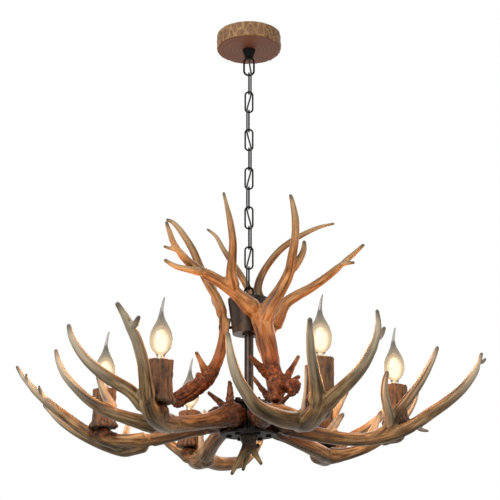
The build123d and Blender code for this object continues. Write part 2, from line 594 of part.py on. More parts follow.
SIDE_ANTLER = {
    "shaft": [(113, 34, -27, 14.5), (110, 31, -24, 12), (90, 23, -9, 13.5), (67, 14, 12, 12),
              (53, 7, 38, 9.5), (44, 2, 69, 9), (41, -1, 100, 8.5), (44, -2, 124, 8.5)],
    "long branch": [(43, -2, 116, 8.5), (51, -2, 147, 7.5), (66, -1, 173, 7.5), (82, 0, 205, 7),
                    (95, 0, 236, 6.5), (113, 1, 266, 5.5), (128, 2, 284, 4), (141, 2, 291, 1.5)],
    "rear branch": [(43, -4, 118, 8), (52, -30, 144, 7.5), (61, -62, 163, 7), (67, -111, 186, 6.5),
                    (71, -156, 212, 5), (73, -181, 234, 1.5)],
    "blunt tine": [(42, 1, 78, 7), (36, 2, 102, 5), (32, 1, 117, 3.5)],
    "brow spike": [(66, 13, 16, 8), (73, 18, 31, 5), (85, 25, 55, 1.5)],
    "brow nub": [(74, 17, 8, 7), (84, 25, 18, 3.5)],
}
UPPER_ANTLERS = [UPPER_FOOT | FRONT_CROWN, UPPER_FOOT | BACK_CROWN, SIDE_ANTLER]
cup_slope = (CUP_TOP_R - CUP_FOOT_R) / (CUP_TOP_LEVEL - CUP_FOOT_LEVEL)
cup_r_at_bolt = CUP_FOOT_R + cup_slope * (UPPER_BOLT_LEVEL - CUP_FOOT_LEVEL)
for number, (limbs, angle, head_radius) in enumerate(zip(UPPER_ANTLERS, upper_angles, UPPER_HEAD_RADII), 1):
    with BuildPart() as upper_antler:
        for stations in limbs.values():
            limb(stations, angle)
        with Locations(bolt_plane(angle)):
            cylinder_between(BOLT_BOSS_R, cup_r_at_bolt - CUP_SHEET, head_radius)
            hole_between(BOLT_R + HOLE_GAP, TUBE_R, head_radius)
            hole_between(BOLT_HEAD_R + HOLE_GAP, head_radius, head_radius + CUP_TOP_R)
        with Locations((0, 0, (cup_foot + cup_top) / 2)):
            Cone(CUP_FOOT_R + SEAT_GAP, CUP_TOP_R + SEAT_GAP, cup_top - cup_foot, mode=Mode.SUBTRACT)
    save(upper_antler, f"upper_antler_{number}")

nut_outer_face = cup_r_at_bolt - CUP_SHEET - UPPER_NUT_GAP
with BuildPart() as upper_antler_bolts:
    for angle, head_radius in zip(upper_angles, UPPER_HEAD_RADII):
        with Locations(bolt_plane(angle)):
            cylinder_between(BOLT_R, nut_outer_face - BOLT_HEAD, head_radius)
            cylinder_between(BOLT_HEAD_R, head_radius, head_radius + BOLT_HEAD)
            cylinder_between(BOLT_HEAD_R, nut_outer_face - BOLT_HEAD, nut_outer_face)
save(upper_antler_bolts, "upper_antler_bolts")

# Lamps: candle cup, socket and bulb on every lower antler
candle_foot = at_level(-CANDLE_HEIGHT)
candle_floor = candle_foot + CANDLE_FLOOR
candle_stations = [
    (candle_foot, CORONET_R),
    (candle_foot + CORONET_EDGE, CORONET_R),
    (candle_foot + CORONET_HEIGHT, CANDLE_WAIST_R),
    (ring_plane, CANDLE_TOP_R),
]
for number, angle in enumerate(lamp_angles, 1):
    lamp_place = placed(LAMP_CIRCLE_R, 0, 0, angle)
    with BuildPart() as candle_cup:
        for height, radius in candle_stations:
            with BuildSketch(Plane(origin=(lamp_place.X, lamp_place.Y, height))):
                Circle(radius)
        loft(ruled=True)
        with Locations((lamp_place.X, lamp_place.Y)):
            hole_between(CANDLE_BORE_R, candle_floor, ring_plane)
            hole_between(SOCKET_NIPPLE_R + HOLE_GAP, candle_foot, candle_floor)
    save(candle_cup, f"candle_cup_{number}")

# Lamp sockets, one group: body on the cup's floor, nipple through the floor into the antler
socket_top = ring_plane - SOCKET_TOP_DROP
cap_top = ring_plane + BULB_CAP_SHOW
cap_foot = cap_top - BULB_CAP_LENGTH
with BuildPart() as lamp_sockets:
    with PolarLocations(LAMP_CIRCLE_R, LAMP_COUNT, LAMP_START_ANGLE):
        cylinder_between(SOCKET_R, candle_floor, socket_top)
        cylinder_between(SOCKET_NIPPLE_R, candle_foot - SOCKET_NIPPLE_LENGTH + CANDLE_FLOOR, candle_floor)
        hole_between(BULB_CAP_R + SLIDE_GAP, cap_foot - SEAT_GAP, socket_top)
save(lamp_sockets, "lamp_sockets")

# Bulbs: a cap with a glass stem, and a flame-shaped glass drawn out to a leaning tip
belly = (BULB_R, ring_plane + BULB_BELLY_RISE)
shoulder = (BULB_SHOULDER_R, ring_plane + BULB_SHOULDER_RISE)
glass_foot = (BULB_NECK_R, cap_top)
for number, angle in enumerate(lamp_angles, 1):
    lamp_place = placed(LAMP_CIRCLE_R, 0, 0, angle)
    flame_tip = [
        (lamp_place.X, lamp_place.Y, BULB_SHOULDER_RISE, BULB_SHOULDER_R),
        (lamp_place.X, lamp_place.Y, BULB_NECKING_RISE, BULB_SHOULDER_R / 2),
        (lamp_place.X + BULB_TIP_LEAN / 4, lamp_place.Y, BULB_DRAWN_RISE, BULB_SHOULDER_R / 3),
        (lamp_place.X + BULB_TIP_LEAN, lamp_place.Y, BULB_TIP_RISE, BULB_TIP_R),
    ]
    with BuildPart() as bulb_cap:
        with Locations((lamp_place.X, lamp_place.Y)):
            cylinder_between(BULB_CAP_R, cap_foot, cap_top)
            cylinder_between(BULB_STEM_R, cap_top, cap_top + BULB_STEM_LENGTH)
    save(bulb_cap, f"bulb_cap_{number}")

    with BuildPart() as bulb_glass:
        glass_plane = Plane(origin=(lamp_place.X, lamp_place.Y, 0), x_dir=(1, 0, 0), z_dir=(0, -1, 0))
        with BuildSketch(glass_plane):
            with BuildLine():
                outer = ThreePointArc(glass_foot, belly, shoulder)
                inner = ThreePointArc(
                    (glass_foot[0] - BULB_GLASS, glass_foot[1]),
                    (belly[0] - BULB_GLASS, belly[1]),
                    (shoulder[0] - BULB_GLASS, shoulder[1]),
                )
                Line(outer @ 0, inner @ 0)
                Line(outer @ 1, inner @ 1)
            make_face()
        revolve(axis=Axis((lamp_place.X, lamp_place.Y, 0), (0, 0, 1)))
        limb(flame_tip, 0)
    save(bulb_glass, f"bulb_glass_{number}")
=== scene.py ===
"""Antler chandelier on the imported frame: antlers, bark cups, lit bulbs, chain, cord and canopy.

All sizes are in metres unless a name or a comment says millimetres. +Z is up, and the origin is on
the ceiling in the middle of the canopy. A "level" is a height from the ring plane, the height of
the six candle cup rims.
"""
import logging
import math
from dataclasses import dataclass
from enum import Enum
from typing import Optional, Sequence, Union

import bmesh
import bpy
import numpy as np
from mathutils import Matrix, Vector, kdtree, noise


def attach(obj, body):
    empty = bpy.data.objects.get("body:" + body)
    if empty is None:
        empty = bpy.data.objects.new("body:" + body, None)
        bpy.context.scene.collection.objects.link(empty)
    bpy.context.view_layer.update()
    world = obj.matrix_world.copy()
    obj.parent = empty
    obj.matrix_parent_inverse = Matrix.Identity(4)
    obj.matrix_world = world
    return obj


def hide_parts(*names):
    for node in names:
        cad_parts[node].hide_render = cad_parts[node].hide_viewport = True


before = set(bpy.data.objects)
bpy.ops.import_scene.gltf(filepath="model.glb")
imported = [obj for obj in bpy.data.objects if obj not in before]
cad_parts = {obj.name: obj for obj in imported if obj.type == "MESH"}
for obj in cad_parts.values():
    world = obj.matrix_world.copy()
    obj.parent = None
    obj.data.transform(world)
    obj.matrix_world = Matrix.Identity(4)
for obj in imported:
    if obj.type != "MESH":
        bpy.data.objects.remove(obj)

log = logging.getLogger("antler_chandelier")

MM = 0.001
RING_PLANE = -0.6339
LAMP_CIRCLE_MM = 236.0
LAMP_ANGLES = (176.6, 236.6, 296.6, 356.6, 56.6, 116.6)
LINK_COUNT = 11
# A Wave texture runs through 20 radians over one unit, so this scale gives one wave to a unit.
ONE_WAVE = 2 * math.pi / 20
# A Mix node has a set of sockets for each kind of value. These are the numbers of its colour set.
FACTOR, FIRST, SECOND, RESULT = 0, 6, 7, 2
COVER = {"data_type": "RGBA", "blend_type": "MIX"}
STAIN = {"data_type": "RGBA", "blend_type": "MULTIPLY"}
SHIFT = {"data_type": "RGBA", "blend_type": "ADD"}
Station = tuple[float, float, float, float]
Socket = bpy.types.NodeSocket
Value = Union[float, int, tuple, Vector, Socket]


class Growth(Enum):
    """How a limb of an antler ends."""

    BEAM = "beam"
    TINE = "tine"
    NUB = "nub"
    BURR = "burr"


@dataclass(frozen=True)
class Limb:
    """One limb of an antler as stations of (outward, left, level, radius) in millimetres."""

    name: str
    growth: Growth
    stations: tuple[Station, ...]


BEAM_ROOT: tuple[Station, ...] = ((22, 0, -52, 11), (34, 0, -52, 17), (50, 0, -53, 21.5))
SEAT_AND_BOSS: tuple[Limb, ...] = (
    Limb("lamp seat", Growth.BEAM, ((205, -18, -89, 11), (222, -8, -83, 12), (236, 0, -80, 13),
        (236, 0, -72, 14), (236, 0, -64.5, 15))),
    Limb("bolt boss", Growth.BEAM, ((32, 0, -73, 8), (32, 0, -36, 8))),
)
LOW_SWEPT: tuple[Limb, ...] = (
    Limb("beam", Growth.BEAM, BEAM_ROOT + (
        (64, -4, -58, 16), (95, -5, -68, 12), (130, -8, -76, 12), (165, -10, -84, 12))),
    Limb("low tine", Growth.TINE, ((195, -28, -92, 8), (207, -52, -80, 7.5), (211, -78, -62, 6.5),
        (213, -108, -40, 5), (215, -133, -16, 1.5))),
    Limb("middle tine", Growth.TINE, ((165, -10, -86, 12), (185, -20, -92, 12), (205, -30, -95, 12),
        (232, -43, -88, 10), (262, -57, -75, 9), (292, -71, -59, 8), (321, -84, -39, 7),
        (345, -97, -18, 5), (360, -105, -4, 1.5))),
    Limb("top tine", Growth.TINE, ((160, -9, -83, 11), (195, -5, -84, 10.5), (225, -3, -82, 10),
        (250, 0, -77, 9.5), (275, 2, -62, 9), (297, 2, -46, 8.5), (320, 1, -29, 8), (343, 0, -9, 7),
        (360, 2, 8, 6), (374, 2, 25, 4), (384, 3, 40, 1.5))),
    Limb("top nub", Growth.NUB, ((358, 2, 6, 4), (364, 7, 16, 3), (365, 10, 26, 1.2))),
    Limb("small nub", Growth.NUB, ((333, 1, -15, 4), (340, 6, -4, 3), (344, 9, 6, 1.2))),
) + SEAT_AND_BOSS
SWEPT_LEFT: tuple[Limb, ...] = (
    Limb("beam", Growth.BEAM, BEAM_ROOT + (
        (64, -5, -58, 16), (95, -14, -68, 12), (145, -25, -79, 12.5), (205, -25, -88, 14))),
    Limb("low tine", Growth.TINE, ((200, -25, -88, 13), (220, -42, -86, 12), (240, -62, -79, 10),
        (252, -86, -69, 9), (262, -110, -54, 8), (270, -131, -34, 7), (276, -150, -12, 6),
        (279, -162, 10, 4.5), (280, -168, 30, 1.5))),
    Limb("low tine nub", Growth.NUB, ((240, -80, -70, 7), (245, -95, -45, 6.5), (246, -104, -27, 5),
        (247, -111, -12, 2))),
    Limb("trunk", Growth.BEAM, ((185, -15, -85, 12), (222, -8, -88, 14), (256, 0, -80, 13),
        (273, 3, -60, 11))),
    Limb("middle tine", Growth.TINE, ((256, -5, -78, 10), (280, -17, -54, 10), (292, -34, -41, 9.5),
        (306, -47, -30, 9), (321, -63, -13, 7.5), (331, -75, 5, 6.5), (339, -84, 25, 5),
        (344, -87, 44, 1.5))),
    Limb("top tine", Growth.TINE, ((266, 2, -70, 11), (280, 8, -42, 10), (296, 14, -15, 9),
        (315, 18, 10, 8), (331, 19, 26, 7.5), (348, 20, 41, 5.5), (364, 18, 56, 1.5))),
    Limb("top nub", Growth.NUB, ((330, 22, 24, 6), (337, 33, 31, 4), (341, 42, 38, 1.5))),
    Limb("brow tine", Growth.TINE, ((46, -8, -44, 6), (44, -28, -28, 4.5), (45, -50, -10, 1.5))),
    Limb("brow spike", Growth.TINE, ((50, -4, -40, 6), (48, -4, -18, 4.5), (51, -3, 3, 1.5))),
) + SEAT_AND_BOSS
CROSSED: tuple[Limb, ...] = (
    Limb("beam", Growth.BEAM, BEAM_ROOT + (
        (66, 0, -55, 16), (95, 0, -56, 13), (140, -2, -70, 13), (190, -8, -88, 15))),
    Limb("low tine", Growth.TINE, ((185, -5, -88, 14), (202, -20, -89, 14), (218, -50, -92, 13),
        (228, -78, -89, 12), (236, -104, -82, 10.5), (248, -126, -68, 9), (256, -145, -48, 8),
        (260, -156, -25, 7), (263, -162, -4, 5), (265, -165, 14, 1.5))),
    Limb("trunk", Growth.BEAM, ((195, -12, -88, 14), (225, -12, -89, 15), (255, -18, -82, 14),
        (268, -18, -72, 12))),
    Limb("middle tine", Growth.TINE, ((258, -22, -80, 11), (276, -30, -58, 10),
        (291, -43, -36, 8.5), (308, -57, -14, 7), (328, -70, 8, 5.5), (345, -79, 26, 1.5))),
    Limb("top tine", Growth.TINE, ((256, -14, -82, 11), (278, -10, -70, 11), (297, -4, -59, 10),
        (318, 3, -46, 9), (338, 8, -32, 8), (354, 12, -14, 7), (367, 14, 5, 6), (375, 12, 23, 4),
        (380, 7, 40, 1.5))),
    Limb("top nub", Growth.NUB, ((362, 14, -2, 5), (362, 24, 10, 4), (360, 32, 22, 1.5))),
    Limb("bark tine", Growth.TINE, ((216, -16, -84, 8), (213, -11, -45, 5.5), (211, -10, -6, 2.5))),
) + SEAT_AND_BOSS
LEVEL_TOPPED: tuple[Limb, ...] = (
    Limb("beam", Growth.BEAM, BEAM_ROOT + (
        (64, -3, -64, 16), (95, -8, -76, 12.5), (130, -12, -84, 11.5), (160, -16, -89, 10.5),
        (195, -20, -90, 11))),
    Limb("low tine", Growth.TINE, ((187, -19, -89, 9), (216, -28, -82, 9), (223, -45, -62, 8),
        (219, -60, -45, 7.5), (215, -75, -27, 6.5), (216, -86, -10, 5), (220, -93, 4, 1.5))),
    Limb("middle tine", Growth.TINE, ((195, -22, -90, 10), (218, -32, -79, 10), (229, -40, -62, 9),
        (240, -47, -47, 8.5), (253, -51, -32, 8), (267, -58, -15, 7), (281, -68, 6, 6),
        (293, -78, 28, 4.5), (300, -83, 44, 1.5))),
    Limb("top tine", Growth.TINE, ((182, -17, -90, 10), (216, -30, -87, 11), (240, -35, -80, 10.5),
        (264, -33, -68, 10), (288, -24, -51, 9.5), (316, -14, -31, 9), (342, -8, -9, 8),
        (362, -2, 16, 6.5), (373, 4, 37, 4.5), (379, 8, 54, 1.5))),
    Limb("top nub", Growth.NUB, ((372, 4, 34, 4), (380, 12, 40, 3), (386, 16, 46, 1.2))),
    Limb("spur", Growth.NUB, ((262, -32, -72, 5), (276, -20, -76, 3), (286, -8, -76, 1.2))),
    Limb("brow tine", Growth.TINE, ((128, -12, -80, 7), (141, -10, -60, 5.5), (153, -9, -46, 3))),
) + SEAT_AND_BOSS
UPPER_FOOT: tuple[Limb, ...] = (
    Limb("shaft", Growth.BEAM, ((95, 0, -39, 8), (92, 0, -28, 8.5), (89, 0, -12, 10),
        (85, 1, 4, 13), (78, 1, 25, 13), (66, 0, 60, 15), (50, 1, 92, 16.5), (48, -10, 116, 16))),
    Limb("brow tine", Growth.TINE, ((82, 0, 0, 9), (83, -22, 15, 5.5), (89, -44, 30, 1.5))),
    Limb("burr", Growth.BURR, ((84, 0, 0, 10), (92, 15, -8, 10.5), (101, 23, -15, 11.5),
        (107, 28, -20, 14.5))),
    Limb("brow spike", Growth.TINE, ((92, 14, -8, 7), (90, 24, 5, 5), (81, 49, 41, 1.5))),
)
FRONT_CROWN: tuple[Limb, ...] = (
    Limb("long branch", Growth.TINE, ((48, -10, 112, 15), (47, -44, 138, 11), (48, -68, 152, 10),
        (46, -90, 163, 9), (43, -116, 174, 8), (51, -142, 188, 6.5), (57, -160, 203, 5.5),
        (66, -173, 221, 4), (71, -181, 235, 1.5))),
    Limb("long nub", Growth.NUB, ((54, -152, 193, 4), (56, -164, 196, 3), (51, -177, 200, 1.2))),
    Limb("long side tine", Growth.TINE, ((44, -104, 168, 6), (52, -120, 166, 5.5),
        (56, -134, 166, 5.5), (51, -155, 170, 4.5), (47, -174, 180, 1.5))),
    Limb("tall tine", Growth.TINE, ((48, -50, 142, 10), (61, -62, 166, 8.5), (72, -66, 185, 7.5),
        (87, -72, 211, 6.5), (98, -82, 240, 5.5), (105, -92, 265, 3.5), (107, -99, 286, 1.5))),
    Limb("right branch", Growth.TINE, ((50, 0, 98, 15), (60, 5, 118, 12.5), (78, 20, 150, 10),
        (92, 27, 175, 9), (107, 25, 200, 7.5), (122, 22, 225, 6.5), (132, 17, 250, 6),
        (138, 9, 275, 4), (141, 3, 288, 1.5))),
    Limb("right side tine", Growth.TINE, ((92, 27, 172, 7), (99, 42, 196, 6), (99, 50, 213, 5),
        (96, 53, 230, 1.5))),
)
BACK_CROWN: tuple[Limb, ...] = (
    Limb("long branch", Growth.TINE, ((49, -10, 108, 15), (51, -25, 126, 12), (60, -34, 149, 10),
        (73, -49, 164, 9), (82, -68, 175, 8), (88, -98, 192, 7), (83, -130, 207, 6),
        (78, -157, 220, 4.5), (73, -180, 232, 1.5))),
    Limb("long nub", Growth.NUB, ((83, -128, 206, 5), (76, -142, 206, 4), (80, -158, 206, 1.2))),
    Limb("curved tine", Growth.TINE, ((50, -8, 118, 12), (46, 2, 150, 9), (44, 11, 177, 7.5),
        (49, 3, 208, 6.5), (58, -20, 241, 6), (67, -43, 260, 5.5), (78, -66, 274, 4.5),
        (89, -87, 284, 3.5), (102, -109, 290, 1.5))),
    Limb("back tine", Growth.TINE, ((46, 6, 150, 8), (41, 20, 168, 7), (38, 42, 206, 6),
        (36, 60, 233, 5.5), (36, 76, 257, 4.5), (33, 91, 284, 3.5), (26, 106, 299, 1.5))),
)
SIDE_ANTLER: tuple[Limb, ...] = (
    Limb("shaft", Growth.BEAM, ((113, 34, -27, 14.5), (110, 31, -24, 12), (90, 23, -9, 13.5),
        (67, 14, 12, 12), (53, 7, 38, 9.5), (44, 2, 69, 9), (41, -1, 100, 8.5),
        (44, -2, 124, 8.5))),
    Limb("long branch", Growth.TINE, ((43, -2, 116, 8.5), (51, -2, 147, 7.5), (66, -1, 173, 7.5),
        (82, 0, 205, 7), (95, 0, 236, 6.5), (113, 1, 266, 5.5), (128, 2, 284, 4),
        (141, 2, 291, 1.5))),
    Limb("rear branch", Growth.TINE, ((43, -4, 118, 8), (52, -30, 144, 7.5), (61, -62, 163, 7),
        (67, -111, 186, 6.5), (71, -156, 212, 5), (73, -181, 234, 1.5))),
    Limb("blunt tine", Growth.TINE, ((42, 1, 78, 7), (36, 2, 102, 5), (32, 1, 117, 3.5))),
    Limb("brow spike", Growth.TINE, ((66, 13, 16, 8), (73, 18, 31, 5), (85, 25, 55, 1.5))),
    Limb("brow nub", Growth.NUB, ((74, 17, 8, 7), (84, 25, 18, 3.5))),
)
FINIAL_TINES: tuple[Limb, ...] = (
    Limb("left tine", Growth.TINE, ((0, 0, -90, 7), (-8, -4, -106, 6), (-18, -7, -123, 4.5),
        (-28, -8, -143, 1.5))),
    Limb("back tine", Growth.TINE, ((0, 2, -92, 6), (-3, 8, -110, 4.5), (-10, 10, -134, 2.5))),
    Limb("right tine", Growth.TINE, ((2, 0, -92, 6), (10, 0, -108, 4.5), (21, 0, -126, 2))),
    Limb("side nub", Growth.NUB, ((2, 2, -96, 5), (10, 6, -97, 3.5), (17, 8, -92, 1.5))),
)


def linear(colour: str) -> tuple[float, float, float, float]:
    """Turn an sRGB hex colour into linear red, green, blue and alpha.

    Args:
        colour: Six hex digits, such as "8a7355".

    Returns:
        The linear colour with an alpha of 1.
    """
    parts = [int(colour[i:i + 2], 16) / 255 for i in (0, 2, 4)]
    red, green, blue = (c / 12.92 if c <= 0.04045 else ((c + 0.055) / 1.055) ** 2.4 for c in parts)
    return red, green, blue, 1.0


def add_node(tree: bpy.types.NodeTree, kind: str, settings: Optional[dict[str, object]] = None,
             inputs: Optional[dict[Union[str, int], Value]] = None) -> bpy.types.Node:
    """Add one node with its settings, constant inputs and links.

    Args:
        tree: The node tree that the node joins.
        kind: The node's type name without "ShaderNode".
        settings: Properties of the node. "stops" sets a colour ramp's places and hex colours.
        inputs: Values or output sockets, by the input's name or number.

    Returns:
        The new node.
    """
    node = tree.nodes.new("ShaderNode" + kind)
    for key, value in (settings or {}).items():
        if key == "stops":
            ramp = node.color_ramp
            while len(ramp.elements) < len(value):
                ramp.elements.new(0.5)
            for element, (place, colour) in zip(ramp.elements, value):
                element.position = place
                element.color = linear(colour)
        else:
            setattr(node, key, value)
    for key, value in (inputs or {}).items():
        if isinstance(value, bpy.types.NodeSocket):
            tree.links.new(value, node.inputs[key])
        else:
            node.inputs[key].default_value = value
    return node


def new_material(name: str) -> tuple[bpy.types.Material, bpy.types.NodeTree, bpy.types.Node]:
    """Make an empty material with its output node.

    Args:
        name: The finish's name.

    Returns:
        The material, its node tree and its output node.
    """
    material = bpy.data.materials.new(name)
    material.use_nodes = True
    material.node_tree.nodes.clear()
    output = add_node(material.node_tree, "OutputMaterial")
    return material, material.node_tree, output


@dataclass(frozen=True)
class AntlerFinish:
    """Cast resin antler, hand stained: grained, satin, pale at the tips and rough near the burr.

    The stain lies dark in the grooves and thin on the ridges, so the grain shows as long streaks
    a few millimetres apart. Groove spacing is about 4 mm across and ten times that along a limb.
    A thin darker wash lies over it in clouds. The bark's grit is drawn coarser than it is, so that
    it shows.
    """

    name: str
    dark: str
    middle: str
    light: str
    tip: str
    tip_end: str
    bark_dark: str
    bark: str
    bark_light: str
    root: str
    groove_mm: float = 4.0
    wash_mm: float = 45.45
    bark_grit_mm: float = 6.5
    roughness: float = 0.40

    def build(self) -> bpy.types.Material:
        """Build the material from the attributes grain, tip, bark, relief and warm.

        Returns:
            The new material.
        """
        material, tree, output = new_material(self.name)
        grain, tip, bark, relief, warm = (
            add_node(tree, "Attribute", {"attribute_name": name})
            for name in ("grain", "tip", "bark", "relief", "warm"))
        place = add_node(tree, "TexCoord")
        streaks = add_node(tree, "TexNoise", None, {
            "Vector": grain.outputs["Vector"], "Scale": 1000 / self.groove_mm, "Detail": 4.0,
            "Roughness": 0.62})
        patches = add_node(tree, "TexNoise", None, {
            "Vector": place.outputs["Object"], "Scale": 1000 / self.wash_mm, "Detail": 2.0})
        stain = add_node(tree, "ValToRGB", {"stops": [
            (0.30, self.dark), (0.47, self.middle), (0.62, self.light)]},
            {"Fac": streaks.outputs["Fac"]})
        wash = add_node(tree, "ValToRGB", {"stops": [(0.36, "8c8c8c"), (0.62, "ffffff")]},
                        {"Fac": patches.outputs["Fac"]})
        coat = add_node(tree, "Mix", STAIN, {
            FACTOR: 0.55, FIRST: stain.outputs["Color"],
            SECOND: wash.outputs["Color"]}).outputs[RESULT]
        ivory = add_node(tree, "Mix", COVER, {
            FACTOR: 0.35, FIRST: linear(self.tip), SECOND: stain.outputs["Color"]}).outputs[RESULT]
        pale = add_node(tree, "MapRange", None, {
            "Value": tip.outputs["Fac"], "From Min": 0.10, "From Max": 0.80})
        body = add_node(tree, "Mix", COVER, {
            FACTOR: pale.outputs["Result"], FIRST: coat, SECOND: ivory}).outputs[RESULT]
        ending = add_node(tree, "MapRange", None, {
            "Value": tip.outputs["Fac"], "From Min": 0.86, "From Max": 0.985})
        body = add_node(tree, "Mix", COVER, {
            FACTOR: ending.outputs["Result"], FIRST: body,
            SECOND: linear(self.tip_end)}).outputs[RESULT]
        grit = add_node(tree, "TexNoise", None, {
            "Vector": place.outputs["Object"], "Scale": 1000 / self.bark_grit_mm, "Detail": 5.0,
            "Roughness": 0.7})
        crust = add_node(tree, "ValToRGB", {"stops": [
            (0.36, self.bark_dark), (0.52, self.bark), (0.68, self.bark_light)]},
            {"Fac": grit.outputs["Fac"]})
        edge = add_node(tree, "Math", {"operation": "MULTIPLY_ADD"}, {
            0: grit.outputs["Fac"], 1: 0.5, 2: bark.outputs["Fac"]})
        cover = add_node(tree, "MapRange", None, {
            "Value": edge.outputs["Value"], "From Min": 0.55, "From Max": 1.0})
        warmth = add_node(tree, "MapRange", None, {
            "Value": warm.outputs["Fac"], "To Max": 0.85})
        body = add_node(tree, "Mix", STAIN, {
            FACTOR: warmth.outputs["Result"], FIRST: body,
            SECOND: linear(self.root)}).outputs[RESULT]
        body = add_node(tree, "Mix", COVER, {
            FACTOR: cover.outputs["Result"], FIRST: body,
            SECOND: crust.outputs["Color"]}).outputs[RESULT]
        pits = add_node(tree, "ValToRGB", {"stops": [(0.08, "3a2c22"), (0.55, "ffffff")]},
                        {"Fac": relief.outputs["Fac"]})
        body = add_node(tree, "Mix", STAIN, {
            FACTOR: 0.9, FIRST: body, SECOND: pits.outputs["Color"]}).outputs[RESULT]
        shine = add_node(tree, "MapRange", None, {
            "Value": grit.outputs["Fac"], "To Min": self.roughness + 0.10,
            "To Max": self.roughness - 0.14})
        height = add_node(tree, "Math", {"operation": "MULTIPLY_ADD"}, {
            0: grit.outputs["Fac"], 1: cover.outputs["Result"], 2: streaks.outputs["Fac"]})
        bump = add_node(tree, "Bump", None, {
            "Strength": 0.35, "Distance": 0.0008, "Height": height.outputs["Value"]})
        shader = add_node(tree, "BsdfPrincipled", None, {
            "Base Color": body, "Roughness": shine.outputs["Result"], "IOR": 1.5,
            "Specular IOR Level": 0.18, "Normal": bump.outputs["Normal"]})
        tree.links.new(shader.outputs["BSDF"], output.inputs["Surface"])
        return material


@dataclass(frozen=True)
class BarkFinish:
    """Dry bark of a cut branch: rough ridges and dark cracks between them.

    Ridges are several millimetres apart and run up the branch. The grooves of the mesh are given
    by the attribute relief, so the dark cracks lie where the surface is low.
    """

    name: str
    crack: str
    middle: str
    ridge: str
    vein: str
    vein_share: float
    vein_mm: float = 13.0
    sway_mm: float = 14.29
    grit_mm: float = 2.4
    roughness: float = 0.62

    def build(self) -> bpy.types.Material:
        """Build the material from the attribute relief and patterns on Object coordinates.

        Returns:
            The new material.
        """
        material, tree, output = new_material(self.name)
        place = add_node(tree, "TexCoord")
        relief = add_node(tree, "Attribute", {"attribute_name": "relief"})
        grit = add_node(tree, "TexNoise", None, {
            "Vector": place.outputs["Object"], "Scale": 1000 / self.grit_mm, "Detail": 5.0,
            "Roughness": 0.68})
        level = add_node(tree, "Math", {"operation": "MULTIPLY_ADD"}, {
            0: grit.outputs["Fac"], 1: 0.7, 2: relief.outputs["Fac"]})
        tone = add_node(tree, "MapRange", None, {
            "Value": level.outputs["Value"], "From Min": 0.35, "From Max": 1.25})
        colour = add_node(tree, "ValToRGB", {"stops": [
            (0.18, self.crack), (0.5, self.middle), (0.85, self.ridge)]},
            {"Fac": tone.outputs["Result"]})
        sway = add_node(tree, "TexNoise", None, {
            "Vector": place.outputs["Object"], "Scale": 1000 / self.sway_mm, "Detail": 3.0})
        bend = add_node(tree, "Mix", SHIFT, {
            FACTOR: 0.016, FIRST: place.outputs["Object"],
            SECOND: sway.outputs["Color"]}).outputs[RESULT]
        squeeze = add_node(tree, "Mapping", None, {"Vector": bend, "Scale": (1.0, 1.0, 0.55)})
        cells = add_node(tree, "TexVoronoi", {"feature": "DISTANCE_TO_EDGE"}, {
            "Vector": squeeze.outputs["Vector"], "Scale": 1000 / self.vein_mm})
        thin = add_node(tree, "Math", {"operation": "MULTIPLY_ADD"}, {
            0: grit.outputs["Fac"], 1: 0.14, 2: cells.outputs["Distance"]})
        veins = add_node(tree, "MapRange", None, {
            "Value": thin.outputs["Value"], "From Min": 0.17, "From Max": 0.09,
            "To Max": self.vein_share})
        body = add_node(tree, "Mix", COVER, {
            FACTOR: veins.outputs["Result"], FIRST: colour.outputs["Color"],
            SECOND: linear(self.vein)}).outputs[RESULT]
        bump = add_node(tree, "Bump", None, {
            "Strength": 0.7, "Distance": 0.0014, "Height": grit.outputs["Fac"]})
        shader = add_node(tree, "BsdfPrincipled", None, {
            "Base Color": body, "Roughness": self.roughness, "IOR": 1.5,
            "Normal": bump.outputs["Normal"]})
        tree.links.new(shader.outputs["BSDF"], output.inputs["Surface"])
        return material


@dataclass(frozen=True)
class RingedWoodFinish:
    """The cut face of a branch: reddish brown wood with growth rings round its middle.

    Rings are 7.2 mm apart and waver, and a little dark dust lies in them.
    """

    name: str
    ring: str
    wood: str
    pale: str
    ring_mm: float = 7.2
    patch_mm: float = 26.32
    roughness: float = 0.55

    def build(self) -> bpy.types.Material:
        """Build the material with rings on Object coordinates, round the Z axis.

        Returns:
            The new material.
        """
        material, tree, output = new_material(self.name)
        place = add_node(tree, "TexCoord")
        rings = add_node(tree, "TexWave", {"wave_type": "RINGS", "rings_direction": "Z"}, {
            "Vector": place.outputs["Object"], "Scale": ONE_WAVE * 1000 / self.ring_mm,
            "Distortion": 1.6, "Detail": 2.0, "Detail Scale": 1.2})
        patches = add_node(tree, "TexNoise", None, {
            "Vector": place.outputs["Object"], "Scale": 1000 / self.patch_mm, "Detail": 4.0,
            "Roughness": 0.65})
        wood = add_node(tree, "Mix", COVER, {
            FACTOR: patches.outputs["Fac"], FIRST: linear(self.wood),
            SECOND: linear(self.pale)}).outputs[RESULT]
        lines = add_node(tree, "MapRange", None, {
            "Value": rings.outputs["Fac"], "From Min": 0.3, "From Max": 0.95, "To Max": 0.42})
        body = add_node(tree, "Mix", COVER, {
            FACTOR: lines.outputs["Result"], FIRST: wood,
            SECOND: linear(self.ring)}).outputs[RESULT]
        bump = add_node(tree, "Bump", None, {
            "Strength": 0.2, "Distance": 0.0004, "Height": rings.outputs["Fac"]})
        shader = add_node(tree, "BsdfPrincipled", None, {
            "Base Color": body, "Roughness": self.roughness, "IOR": 1.5,
            "Normal": bump.outputs["Normal"]})
        tree.links.new(shader.outputs["BSDF"], output.inputs["Surface"])
        return material


